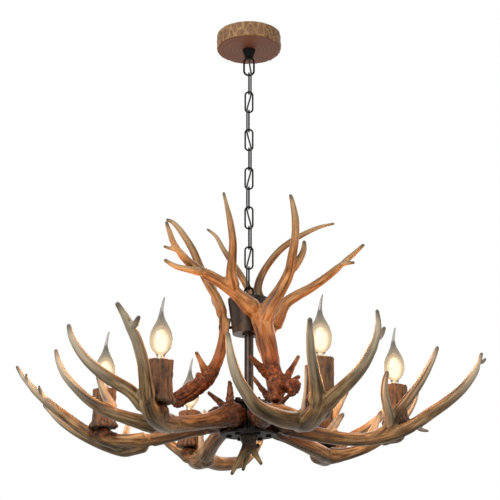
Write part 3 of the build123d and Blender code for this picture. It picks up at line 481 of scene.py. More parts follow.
@dataclass(frozen=True)
class MetalFinish:
    """Metal with its surface treatment: colour patches, fine grain and slightly uneven gloss."""

    name: str
    colour: str
    rubbed: str
    metallic: float
    roughness: float
    rubbed_share: float = 0.5
    patch_mm: float = 9.0
    grain_mm: float = 0.8
    relief_mm: float = 0.05
    specular: float = 0.5

    def build(self) -> bpy.types.Material:
        """Build the material with patterns on Object coordinates.

        Returns:
            The new material.
        """
        material, tree, output = new_material(self.name)
        place = add_node(tree, "TexCoord")
        patches = add_node(tree, "TexNoise", None, {
            "Vector": place.outputs["Object"], "Scale": 1000 / self.patch_mm, "Detail": 4.0,
            "Roughness": 0.6})
        grain = add_node(tree, "TexNoise", None, {
            "Vector": place.outputs["Object"], "Scale": 1000 / self.grain_mm, "Detail": 2.0})
        wear = add_node(tree, "MapRange", None, {
            "Value": patches.outputs["Fac"], "From Min": 0.42, "From Max": 0.72,
            "To Max": self.rubbed_share})
        body = add_node(tree, "Mix", COVER, {
            FACTOR: wear.outputs["Result"], FIRST: linear(self.colour),
            SECOND: linear(self.rubbed)}).outputs[RESULT]
        gloss = add_node(tree, "MapRange", None, {
            "Value": patches.outputs["Fac"], "To Min": self.roughness - 0.08,
            "To Max": self.roughness + 0.12})
        bump = add_node(tree, "Bump", None, {
            "Strength": 0.15, "Distance": self.relief_mm * MM, "Height": grain.outputs["Fac"]})
        shader = add_node(tree, "BsdfPrincipled", None, {
            "Base Color": body, "Metallic": self.metallic, "Roughness": gloss.outputs["Result"],
            "Specular IOR Level": self.specular, "Normal": bump.outputs["Normal"]})
        tree.links.new(shader.outputs["BSDF"], output.inputs["Surface"])
        return material


@dataclass(frozen=True)
class MouldedFinish:
    """Moulded plastic or rubber: even colour, faint mottling and a soft gloss."""

    name: str
    colour: str
    roughness: float
    ior: float
    mottle_mm: float = 3.0

    def build(self) -> bpy.types.Material:
        """Build the material with its mottling on Object coordinates.

        Returns:
            The new material.
        """
        material, tree, output = new_material(self.name)
        place = add_node(tree, "TexCoord")
        mottle = add_node(tree, "TexNoise", None, {
            "Vector": place.outputs["Object"], "Scale": 1000 / self.mottle_mm, "Detail": 3.0})
        shade = add_node(tree, "ValToRGB", {"stops": [(0.3, "c8c8c8"), (0.7, "ffffff")]},
                         {"Fac": mottle.outputs["Fac"]})
        body = add_node(tree, "Mix", STAIN, {
            FACTOR: 0.6, FIRST: linear(self.colour),
            SECOND: shade.outputs["Color"]}).outputs[RESULT]
        bump = add_node(tree, "Bump", None, {
            "Strength": 0.2, "Distance": 0.00005, "Height": mottle.outputs["Fac"]})
        shader = add_node(tree, "BsdfPrincipled", None, {
            "Base Color": body, "Roughness": self.roughness, "IOR": self.ior,
            "Normal": bump.outputs["Normal"]})
        tree.links.new(shader.outputs["BSDF"], output.inputs["Surface"])
        return material


@dataclass(frozen=True)
class GlassFinish:
    """Clear soda-lime glass, blown thin: smooth, with faint waves from drawing it.

    The belly's cream is a painted glow of the lit filament: the colour runs from it to grey in the
    tail.
    """

    name: str
    # The first colour is the cream of the belly: a painted glow of the lit filament, not the
    # glass's own colour.
    painted_glow: str
    tail: str
    ior: float = 1.45
    roughness: float = 0.0
    wave_mm: float = 11.11
    painted_glow_rise: float = 0.030
    tail_rise: float = 0.068

    def build(self) -> bpy.types.Material:
        """Build the clear material with slow waves in its surface and a painted glow in its belly.

        Returns:
            The new material.
        """
        material, tree, output = new_material(self.name)
        place = add_node(tree, "TexCoord")
        waves = add_node(tree, "TexNoise", None, {
            "Vector": place.outputs["Object"], "Scale": 1000 / self.wave_mm, "Detail": 1.0})
        bump = add_node(tree, "Bump", None, {
            "Strength": 0.15, "Distance": 0.0004, "Height": waves.outputs["Fac"]})
        level = add_node(tree, "SeparateXYZ", None, {"Vector": place.outputs["Object"]})
        # Painted glow: the base colour is cream at the belly, standing in for the lit filament's
        # light, and turns grey towards the tail.
        rise = add_node(tree, "MapRange", None, {
            "Value": level.outputs["Z"], "From Min": RING_PLANE + self.painted_glow_rise,
            "From Max": RING_PLANE + self.tail_rise})
        colour = add_node(tree, "Mix", COVER, {
            FACTOR: rise.outputs["Result"], FIRST: linear(self.painted_glow),
            SECOND: linear(self.tail)}).outputs[RESULT]
        shader = add_node(tree, "BsdfPrincipled", None, {
            "Base Color": colour, "Roughness": self.roughness, "IOR": self.ior,
            "Transmission Weight": 1.0, "Normal": bump.outputs["Normal"]})
        tree.links.new(shader.outputs["BSDF"], output.inputs["Surface"])
        return material


@dataclass(frozen=True)
class GlowFinish:
    """Light of the burning filament: it shines through everything behind it, brightest inside."""

    name: str
    colour: str
    strength: float
    cover: float

    def build(self) -> bpy.types.Material:
        """Build a shining material that covers part of what lies behind it.

        Returns:
            The new material.
        """
        material, tree, output = new_material(self.name)
        shader = add_node(tree, "BsdfPrincipled", None, {
            "Base Color": linear("000000"), "Roughness": 1.0, "Specular IOR Level": 0.0,
            "Emission Color": linear(self.colour), "Emission Strength": self.strength,
            "Alpha": self.cover})
        tree.links.new(shader.outputs["BSDF"], output.inputs["Surface"])
        return material


def link_mesh(name: str, mesh: bpy.types.Mesh, *materials: bpy.types.Material) -> bpy.types.Object:
    """Make a finished piece of a mesh, smooth shaded, at the origin.

    Args:
        name: The piece's name.
        mesh: Its mesh, with its place in its vertices.
        *materials: The materials of its slots.

    Returns:
        The new object.
    """
    mesh.name = name
    for material in materials:
        mesh.materials.append(material)
    mesh.polygons.foreach_set("use_smooth", [True] * len(mesh.polygons))
    piece = bpy.data.objects.new(name, mesh)
    bpy.context.scene.collection.objects.link(piece)
    return piece


def mesh_from(shape: bmesh.types.BMesh, name: str) -> bpy.types.Mesh:
    """Write a bmesh to a new mesh and free it.

    Args:
        shape: The bmesh.
        name: The mesh's name.

    Returns:
        The new mesh.
    """
    mesh = bpy.data.meshes.new(name)
    shape.to_mesh(mesh)
    shape.free()
    return mesh


def solved_mesh(data: Union[bpy.types.Curve, bpy.types.Mesh], voxel: float = 0.0) -> bpy.types.Mesh:
    """Turn a curve, or a mesh that is melted into even squares, into a new mesh.

    Args:
        data: The curve or the mesh, which is removed.
        voxel: The side of the squares, or 0 for none.

    Returns:
        The new mesh.
    """
    holder = bpy.data.objects.new(data.name, data)
    bpy.context.scene.collection.objects.link(holder)
    if voxel:
        remesh = holder.modifiers.new("skin", "REMESH")
        remesh.mode = "VOXEL"
        remesh.voxel_size = voxel
    solved = holder.evaluated_get(bpy.context.evaluated_depsgraph_get())
    mesh = bpy.data.meshes.new_from_object(solved)
    bpy.data.objects.remove(holder)
    if isinstance(data, bpy.types.Curve):
        bpy.data.curves.remove(data)
    else:
        bpy.data.meshes.remove(data)
    return mesh


def new_curve(name: str, kind: str, places: Sequence[Vector]
              ) -> tuple[bpy.types.Curve, bpy.types.Spline]:
    """Make a curve of one spline.

    Args:
        name: The curve's name.
        kind: The spline's type, such as "NURBS".
        places: The spline's points.

    Returns:
        The curve and its spline.
    """
    curve = bpy.data.curves.new(name, "CURVE")
    curve.dimensions = "3D"
    spline = curve.splines.new(kind)
    spline.points.add(len(places) - 1)
    for point, place in zip(spline.points, places):
        point.co = (*place, 1)
    return curve, spline


def set_attribute(mesh: bpy.types.Mesh, name: str, values: np.ndarray) -> None:
    """Store one number, or one vector, per vertex under a name.

    Args:
        mesh: The mesh that gets the attribute.
        name: The attribute's name.
        values: One row per vertex.
    """
    vector = values.ndim == 2
    attribute = mesh.attributes.new(name, "FLOAT_VECTOR" if vector else "FLOAT", "POINT")
    attribute.data.foreach_set("vector" if vector else "value", values.astype(np.float32).ravel())


def coordinates(mesh: bpy.types.Mesh) -> np.ndarray:
    """Read the vertex places of a mesh.

    Args:
        mesh: The mesh.

    Returns:
        One row of x, y and z per vertex.
    """
    flat = np.empty(len(mesh.vertices) * 3)
    mesh.vertices.foreach_get("co", flat)
    return flat.reshape(-1, 3)


def set_coordinates(mesh: bpy.types.Mesh, places: np.ndarray) -> None:
    """Move the vertices of a mesh to their new places."""
    mesh.vertices.foreach_set("co", places.ravel())
    mesh.update()


def normals(mesh: bpy.types.Mesh) -> np.ndarray:
    """Read the vertex normals of a mesh.

    Args:
        mesh: The mesh.

    Returns:
        One row of x, y and z per vertex.
    """
    flat = np.empty(len(mesh.vertices) * 3, np.float32)
    mesh.vertex_normals.foreach_get("vector", flat)
    return flat.reshape(-1, 3).astype(float)


def averaged(mesh: bpy.types.Mesh, values: np.ndarray, rounds: int) -> np.ndarray:
    """Even out values over neighbouring vertices.

    Args:
        mesh: The mesh whose edges join the neighbours.
        values: One number per vertex.
        rounds: How often each value moves halfway to its neighbours' mean.

    Returns:
        The evened values.
    """
    ends = np.empty(len(mesh.edges) * 2, np.int64)
    mesh.edges.foreach_get("vertices", ends)
    first, second = ends[0::2], ends[1::2]
    count = len(values)
    degree = np.bincount(first, minlength=count) + np.bincount(second, minlength=count)
    for _ in range(rounds):
        total = np.bincount(first, values[second], count)
        total += np.bincount(second, values[first], count)
        values = 0.5 * values + 0.5 * total / np.maximum(degree, 1)
    return values


def smooth_step(value: np.ndarray, low: float, high: float) -> np.ndarray:
    """Rise smoothly from 0 at low to 1 at high, or fall where low is above high."""
    share = np.clip((value - low) / (high - low), 0, 1)
    return share * share * (3 - 2 * share)


def noise_round(x: float, y: float, turns: float, shift: float, run: float) -> float:
    """Read noise at a place round an axis, so that the pattern closes on itself.

    Args:
        x: Where the place lies on the unit circle round the axis.
        y: The same, across.
        turns: How fine the pattern is round the axis.
        shift: What tells this pattern from its like on another piece.
        run: How far along the axis the pattern is read.

    Returns:
        The noise, from about -1 to 1.
    """
    return noise.noise(Vector((x * turns + shift, y * turns, run)))


def directions(places: Sequence[Vector]) -> list[tuple[Vector, Vector]]:
    """Find which way a line runs at each of its points, and a side that doesn't twist.

    Args:
        places: The line's points.

    Returns:
        The direction and the side at each point.
    """
    along = (places[1] - places[0]).normalized()
    side = along.orthogonal().normalized()
    found = []
    for i in range(len(places)):
        ahead = (places[min(i + 1, len(places) - 1)] - places[max(i - 1, 0)]).normalized()
        side = (along.rotation_difference(ahead) @ side).normalized()
        along = ahead
        found.append((along, side))
    return found


def facing(place: Vector, along: Vector, side: Vector) -> Matrix:
    """Give the frame of a circle that is square to a line."""
    turn = Matrix((side, along.cross(side), along)).transposed().to_4x4()
    return Matrix.Translation(place) @ turn


def sweep(shape: bmesh.types.BMesh, frames: Sequence[Matrix], sides: int, radius: float) -> None:
    """Add a closed tube by drawing a circle from frame to frame.

    Args:
        shape: The bmesh that the tube joins.
        frames: The circle's frames, in order.
        sides: The circle's sides.
        radius: The circle's radius within a frame.
    """
    ring = bmesh.ops.create_circle(shape, cap_ends=True, segments=sides, radius=radius,
                                   matrix=frames[0])["verts"]
    edges = list(dict.fromkeys(edge for vert in ring for edge in vert.link_edges))
    for start, end in zip(frames, frames[1:]):
        drawn = bmesh.ops.extrude_edge_only(shape, edges=edges)["geom"]
        verts = [item for item in drawn if isinstance(item, bmesh.types.BMVert)]
        edges = [item for item in drawn if isinstance(item, bmesh.types.BMEdge)]
        bmesh.ops.transform(shape, matrix=end @ start.inverted(), verts=verts)
    bmesh.ops.contextual_create(shape, geom=edges)


@dataclass(frozen=True)
class Sample:
    """One place along a limb: where it is, which way the limb runs there and how thick it is."""

    place: Vector
    along: Vector
    side: Vector
    radius: float
    run: float
    to_tip: float
    limb: int


def placed(station: Sequence[float], azimuth: float) -> Vector:
    """Turn a station to its azimuth and into the frame.

    Args:
        station: Outward, left and level in millimetres, and perhaps more.
        azimuth: The antler's direction from the stem, in degrees.

    Returns:
        The place in metres.
    """
    turn = math.radians(azimuth)
    outward, left, level = station[:3]
    x = outward * math.cos(turn) - left * math.sin(turn)
    y = outward * math.sin(turn) + left * math.cos(turn)
    return Vector((x * MM, y * MM, RING_PLANE + level * MM))


def curve_through(points: Sequence[Vector], radii: Sequence[float], steps: int
                  ) -> list[tuple[Vector, float]]:
    """Run a smooth curve through the points of a limb.

    Args:
        points: The stations' places.
        radii: The stations' radii.
        steps: How many samples lie between two stations.

    Returns:
        Places and radii along the curve.
    """
    found = []
    last = len(points) - 1
    for i in range(last):
        before, start = points[max(i - 1, 0)], points[i]
        end, after = points[i + 1], points[min(i + 2, last)]
        for step in range(steps):
            t = step / steps
            place = 0.5 * ((2 * start) + (end - before) * t
                           + (2 * before - 5 * start + 4 * end - after) * t * t
                           + (3 * start - before - 3 * end + after) * t * t * t)
            found.append((place, radii[i] + (radii[i + 1] - radii[i]) * t))
    found.append((points[last], radii[last]))
    return found


@dataclass
class Antler:
    """One antler: tubes along its limbs, melted together, then grooved and roughened.

    The rough part is given by two distances: rough_near is fully rough and rough_far is smooth,
    measured out from the stem for a lower antler, or up from the burr for an upper one. Where a
    limb grows out of another it starts thin, flares, and settles to its own thickness.
    """

    name: str
    nodes: tuple[str, ...]
    azimuth: float
    limbs: tuple[Limb, ...]
    slot: str
    rough_near: float
    rough_far: float
    rough_by_level: bool = False
    seed: float = 0.0
    voxel: float = 0.0013
    steps: int = 8
    sides: int = 18
    groove_depth: float = 0.00035
    bark_depth: float = 0.0023
    warm_reach: float = 1.7
    pale_length: float = 0.132
    blunt: float = 0.55
    blunt_limit: float = 0.0031
    end_share: float = 0.35
    root_share: float = 0.6
    root_flare: float = 1.2
    root_rise: float = 0.010
    root_fall: float = 0.024
    beam_end: float = 0.009
    melt_rounds: int = 44
    melt_radius: float = 0.0052
    thin_rounds: int = 9
    lack_limit: float = 0.002
    fork_rounds: int = 56
    fork_reach: float = 0.008
    near_samples: int = 14
    own_samples: int = 5
    seat_radii: tuple[float, float] = (0.030, 0.019)
    seat_levels: tuple[float, float] = (-0.090, -0.072)
    grain_squeeze: float = 0.1
    limb_shift: float = 0.37
    groove_turns: float = 2.4
    groove_pitch: float = 13.0
    ridge_turns: float = 2.6
    ridge_pitch: float = 42.0
    crust_pitch: float = 120.0
    full_depth_radius: float = 0.006

    def samples(self) -> list[list[Sample]]:
        """Sample every limb along its smooth curve.

        Returns:
            One list of samples for each limb.
        """
        found = []
        for index, limb in enumerate(self.limbs):
            points = [placed(station, self.azimuth) for station in limb.stations]
            radii = [station[3] * MM for station in limb.stations]
            free = limb.growth in (Growth.TINE, Growth.NUB)
            if free:
                radii[-1] = max(radii[-1], min(self.blunt * radii[-2], self.blunt_limit))
            line = curve_through(points, radii, self.steps)
            runs = [0.0]
            for (start, _), (end, _) in zip(line, line[1:]):
                runs.append(runs[-1] + (end - start).length)
            ways = directions([place for place, _ in line])
            row = []
            for (place, radius), (along, side), run in zip(line, ways, runs):
                left = runs[-1] - run
                if free and left < radii[-1]:
                    radius *= max(math.sqrt(1 - (1 - left / radii[-1]) ** 2), self.end_share)
                if index and limb.growth is not Growth.BURR:
                    rise = min(run / self.root_rise, 1)
                    fall = min(max(run - self.root_rise, 0) / self.root_fall, 1)
                    radius *= (self.root_share + (self.root_flare - self.root_share) * rise
                               - (self.root_flare - 1) * fall)
                if limb.growth is Growth.BEAM:
                    radius *= self.root_share + (1 - self.root_share) * min(left / self.beam_end, 1)
                row.append(Sample(place, along, side, radius, run, left if free else 1.0, index))
            found.append(row)
        return found

    def melted(self, rows: Sequence[Sequence[Sample]]) -> bpy.types.Mesh:
        """Draw the limbs as tubes and join them into one skin.

        Args:
            rows: The samples of each limb.

        Returns:
            One closed mesh of even squares.
        """
        shape = bmesh.new()
        for row in rows:
            frames = [facing(s.place, s.along, s.side) @ Matrix.Scale(s.radius, 4) for s in row]
            sweep(shape, frames, self.sides, 1.0)
        bmesh.ops.recalc_face_normals(shape, faces=shape.faces)
        return solved_mesh(mesh_from(shape, self.name + "_limbs"), self.voxel)

    def nearest(self, skin: bpy.types.Mesh, rows: Sequence[Sequence[Sample]]
                ) -> tuple[list[Sample], np.ndarray]:
        """Find the sample that each vertex belongs to, and where limbs meet.

        Args:
            skin: The melted mesh.
            rows: The samples of each limb.

        Returns:
            One sample per vertex, and its distance from the skin of the next limb.
        """
        flat = [sample for row in rows for sample in row]
        tree = kdtree.KDTree(len(flat))
        for i, sample in enumerate(flat):
            tree.insert(sample.place, i)
        tree.balance()
        found, apart = [], []
        for vertex in skin.vertices:
            near = tree.find_n(vertex.co, self.near_samples)
            best = flat[min(near[:self.own_samples],
                            key=lambda hit: abs(hit[2] - flat[hit[1]].radius))[1]]
            found.append(best)
            apart.append(min((hit[2] - flat[hit[1]].radius for hit in near
                              if flat[hit[1]].limb != best.limb), default=1.0))
        return found, np.array(apart)

    def even_out(self, skin: bpy.types.Mesh, owners: Sequence[Sample]) -> None:
        """Smooth the skin, with fewer rounds on thin limbs, which would shrink away.

        Args:
            skin: The melted mesh.
            owners: The sample of each vertex.
        """
        shape = bmesh.new()
        shape.from_mesh(skin)
        shape.verts.ensure_lookup_table()
        for rounds, thick in ((self.melt_rounds, True), (self.thin_rounds, False)):
            verts = [shape.verts[i] for i, sample in enumerate(owners)
                     if (sample.radius > self.melt_radius) is thick]
            for _ in range(rounds):
                bmesh.ops.smooth_vert(shape, verts=verts, factor=0.5, use_axis_x=True,
                                      use_axis_y=True, use_axis_z=True)
        shape.to_mesh(skin)
        shape.free()
        skin.update()

    def fill_out(self, skin: bpy.types.Mesh, owners: Sequence[Sample]) -> None:
        """Give limbs back the thickness that melting took, and leave the filled forks.

        Args:
            skin: The evened mesh.
            owners: The sample of each vertex.
        """
        places, outward = coordinates(skin), normals(skin)
        middles = np.array([tuple(sample.place) for sample in owners])
        radii = np.array([sample.radius for sample in owners])
        lack = radii - np.linalg.norm(places - middles, axis=1)
        lack = averaged(skin, np.clip(lack, 0, self.lack_limit), 4)
        set_coordinates(skin, places + outward * lack[:, None])

    def even_forks(self, skin: bpy.types.Mesh, apart: np.ndarray) -> None:
        """Let limbs flow into each other where they meet, without a seam.

        Args:
            skin: The filled out mesh.
            apart: Each vertex's distance from the skin of the next limb.
        """
        share = averaged(skin, smooth_step(apart, self.fork_reach, 0.0), 6)
        places = coordinates(skin)
        even = np.stack([averaged(skin, line, self.fork_rounds) for line in places.T], axis=1)
        set_coordinates(skin, places + (even - places) * share[:, None])

    def rough_share(self, places: np.ndarray, reach: float = 1.0) -> np.ndarray:
        """Say how rough each vertex is, from 0 for smooth to 1 for bark.

        Args:
            places: The vertex places.
            reach: How much further than the bark the share reaches before it is 0.

        Returns:
            One share per vertex.
        """
        far = self.rough_near + (self.rough_far - self.rough_near) * reach
        level = places[:, 2] - RING_PLANE
        if self.rough_by_level:
            return smooth_step(level, far, self.rough_near)
        share = smooth_step(np.hypot(places[:, 0], places[:, 1]), far, self.rough_near)
        lamp = placed((LAMP_CIRCLE_MM, 0, 0), self.azimuth)
        beside = np.hypot(places[:, 0] - lamp.x, places[:, 1] - lamp.y)
        seat = smooth_step(beside, *self.seat_radii) * smooth_step(level, *self.seat_levels)
        return np.maximum(share, seat)

    def carve(self, skin: bpy.types.Mesh, owners: Sequence[Sample]) -> None:
        """Cut grooves and bark into the skin and store what the finish reads.

        Args:
            skin: The evened mesh.
            owners: The sample of each vertex.
        """
        places, outward = coordinates(skin), normals(skin)
        rough = self.rough_share(places)
        count = len(places)
        grain, tip = np.empty((count, 3)), np.empty(count)
        groove, crust = np.empty(count), np.empty(count)
        for i, sample in enumerate(owners):
            offset = Vector(places[i]) - sample.place
            x, y = offset.dot(sample.side), offset.dot(sample.along.cross(sample.side))
            ahead = offset.dot(sample.along)
            run = sample.run + ahead
            shift = sample.limb * self.limb_shift + self.seed
            grain[i] = (x + shift, y, run * self.grain_squeeze)
            tip[i] = 1 - min((sample.to_tip - ahead) / self.pale_length, 1)
            length = math.hypot(x, y) or 1.0
            x, y = x / length, y / length
            groove[i] = noise_round(x, y, self.groove_turns, shift, run * self.groove_pitch)
            ridge = 1 - 2.4 * abs(
                noise_round(x, y, self.ridge_turns, shift, run * self.ridge_pitch))
            seat = Vector(places[i]) * self.crust_pitch
            crust[i] = (0.4 * (1 - 2 * abs(noise.noise(seat))) + 0.65 * ridge
                        + 0.25 * noise.noise(seat * 2.3))
        groove = averaged(skin, groove, 2)
        height = self.groove_depth * groove * (1 - rough) + self.bark_depth * (crust - 0.35) * rough
        radii = np.array([sample.radius for sample in owners])
        height *= np.clip(radii / self.full_depth_radius, 0.15, 1)
        relief = np.where(rough > 0.02, np.clip(0.5 + 0.55 * crust, 0, 1), 0.5)
        relief = relief * rough + (1 - rough) * np.clip(0.62 + 0.9 * groove, 0, 1)
        set_attribute(skin, "grain", grain)
        set_attribute(skin, "tip", averaged(skin, np.clip(tip, 0, 1), 4))
        set_attribute(skin, "bark", averaged(skin, rough, 2))
        set_attribute(skin, "warm", self.rough_share(places, self.warm_reach))
        set_attribute(skin, "relief", relief)
        set_coordinates(skin, places + outward * height[:, None])

    def build(self, material: bpy.types.Material) -> bpy.types.Object:
        """Build the antler and let it stand for its nodes.

        Args:
            material: The antler finish.

        Returns:
            The finished piece.
        """
        rows = self.samples()
        skin = self.melted(rows)
        owners, apart = self.nearest(skin, rows)
        self.even_out(skin, owners)
        self.fill_out(skin, owners)
        self.even_forks(skin, apart)
        self.carve(skin, owners)
        piece = link_mesh(self.name, skin, material)
        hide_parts(*self.nodes)
        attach(piece, "fixture")
        return piece


def spun(profile: Sequence[tuple[float, float]], centre: Vector, segments: int,
         closed: bool) -> bmesh.types.BMesh:
    """Turn a profile round an upright axis.

    Args:
        profile: Points of (radius, height), in metres from the centre.
        centre: The axis's foot.
        segments: How many steps a turn has.
        closed: Whether the last point joins the first.

    Returns:
        The turned shape with its doubles merged and its faces outwards.
    """
    shape = bmesh.new()
    verts = [shape.verts.new(centre + Vector((radius, 0, height))) for radius, height in profile]
    pairs = list(zip(verts, verts[1:])) + ([(verts[-1], verts[0])] if closed else [])
    edges = [shape.edges.new(pair) for pair in pairs]
    bmesh.ops.spin(shape, geom=verts + edges, cent=centre, axis=(0, 0, 1), angle=2 * math.pi,
                   steps=segments, use_merge=True)
    bmesh.ops.remove_doubles(shape, verts=shape.verts, dist=1e-6)
    bmesh.ops.recalc_face_normals(shape, faces=shape.faces)
    return shape


def along_profile(corners: Sequence[tuple[float, float]], step: float) -> list[tuple[float, float]]:
    """Add points between a profile's corners.

    Args:
        corners: The corners as (radius, height).
        step: How far apart two points may be.

    Returns:
        The corners and the points between them.
    """
    points = []
    for (r0, z0), (r1, z1) in zip(corners, corners[1:]):
        parts = max(1, math.ceil(math.hypot(r1 - r0, z1 - z0) / step))
        points += [(r0 + (r1 - r0) * i / parts, z0 + (z1 - z0) * i / parts) for i in range(parts)]
    return points + [corners[-1]]


@dataclass
class CandleCup:
    """A bark sleeve for one lamp: a hollow branch end that flares into a knobbly crown."""

    index: int
    centre: Vector
    height: float = 0.064
    rim_radius: float = 0.0195
    waist_radius: float = 0.018
    waist_rise: float = 0.030
    crown_radius: float = 0.023
    crown_height: float = 0.011
    crown_middle: float = 0.004
    crown_reach: float = 0.012
    bore_radius: float = 0.015
    wire_hole: float = 0.0042
    floor: float = 0.003
    knobs: int = 19
    knob_depth: float = 0.0024
    ridge_depth: float = 0.0017
    rim_wave: float = 0.0013
    rim_reach: float = 0.006
    edge: float = 0.0004
    seed_step: float = 7.3
    profile_step: float = 0.0012
    segments: int = 110

    def profile(self) -> list[tuple[float, float]]:
        """Give the wall's section, up the outside and down the bore.

        Returns:
            Corners of (radius, height).
        """
        foot = -self.height
        return [
            (self.wire_hole, foot), (self.crown_radius - 0.002, foot),
            (self.crown_radius, foot + 0.002), (self.crown_radius, foot + 0.0042),
            (self.waist_radius + 0.0012, foot + self.crown_height),
            (self.waist_radius, foot + self.waist_rise), (self.rim_radius, -0.0015),
            (self.rim_radius - 0.0008, 0.0), (self.bore_radius + 0.0006, 0.0),
            (self.bore_radius, -0.001), (self.bore_radius, foot + self.floor),
            (self.wire_hole, foot + self.floor)]

    def build(self, material: bpy.types.Material) -> bpy.types.Object:
        """Build the cup with ridges up its side and knobs round its crown.

        Args:
            material: The bark finish.

        Returns:
            The finished cup.
        """
        corners = along_profile(self.profile(), self.profile_step)
        shape = spun(corners, self.centre, self.segments, True)
        mesh = mesh_from(shape, f"candle_cup_{self.index}")
        places, outward = coordinates(mesh), normals(mesh)
        relief = np.empty(len(places))
        shift = self.index * self.seed_step
        for i, place in enumerate(places):
            x, y, z = place - np.array(self.centre)
            radius, turn = math.hypot(x, y), math.atan2(y, x)
            x, y, rise = math.cos(turn), math.sin(turn), z + self.height
            outside = radius > self.bore_radius + 0.0005
            ridge = 1 - 2.4 * abs(noise_round(x, y, 3.4, shift, z * 26))
            bark = 0.7 * ridge + 0.5 * noise_round(x, y, 5, shift, z * 140)
            crown = max(0.0, 1 - abs(rise - self.crown_middle) / self.crown_reach)
            petals = abs(math.sin(turn * self.knobs / 2 + shift)) ** 0.6
            height = self.ridge_depth * (bark - 0.5) if outside else 0.0
            height += self.knob_depth * crown * (petals - 0.55) if outside else 0.0
            # Inside the bore the relief is set to 0.25, so the bore's wall is darker: painted shade
            # in the hollow of the cup.
            relief[i] = 0.5 + 0.5 * bark - 0.35 * crown * (1 - petals) if outside else 0.25
            moved = outward[i] * height
            if abs(z) < self.edge or abs(rise) < self.edge:
                moved = moved * np.array((0.3, 0.3, 0.6))
            wave = noise_round(x, y, 2.2, shift, 3.1)
            sink = max(0.0, 1 + z / self.rim_reach) * self.rim_wave * (wave * 1.6 - 0.6)
            places[i] = place + moved + np.array((0, 0, sink))
        set_coordinates(mesh, places)
        set_attribute(mesh, "relief", np.clip(relief, 0, 1))
        piece = link_mesh(f"bark_cup_{self.index}", mesh, material)
        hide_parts(f"candle_cup_{self.index}")
        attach(piece, "fixture")
        return piece


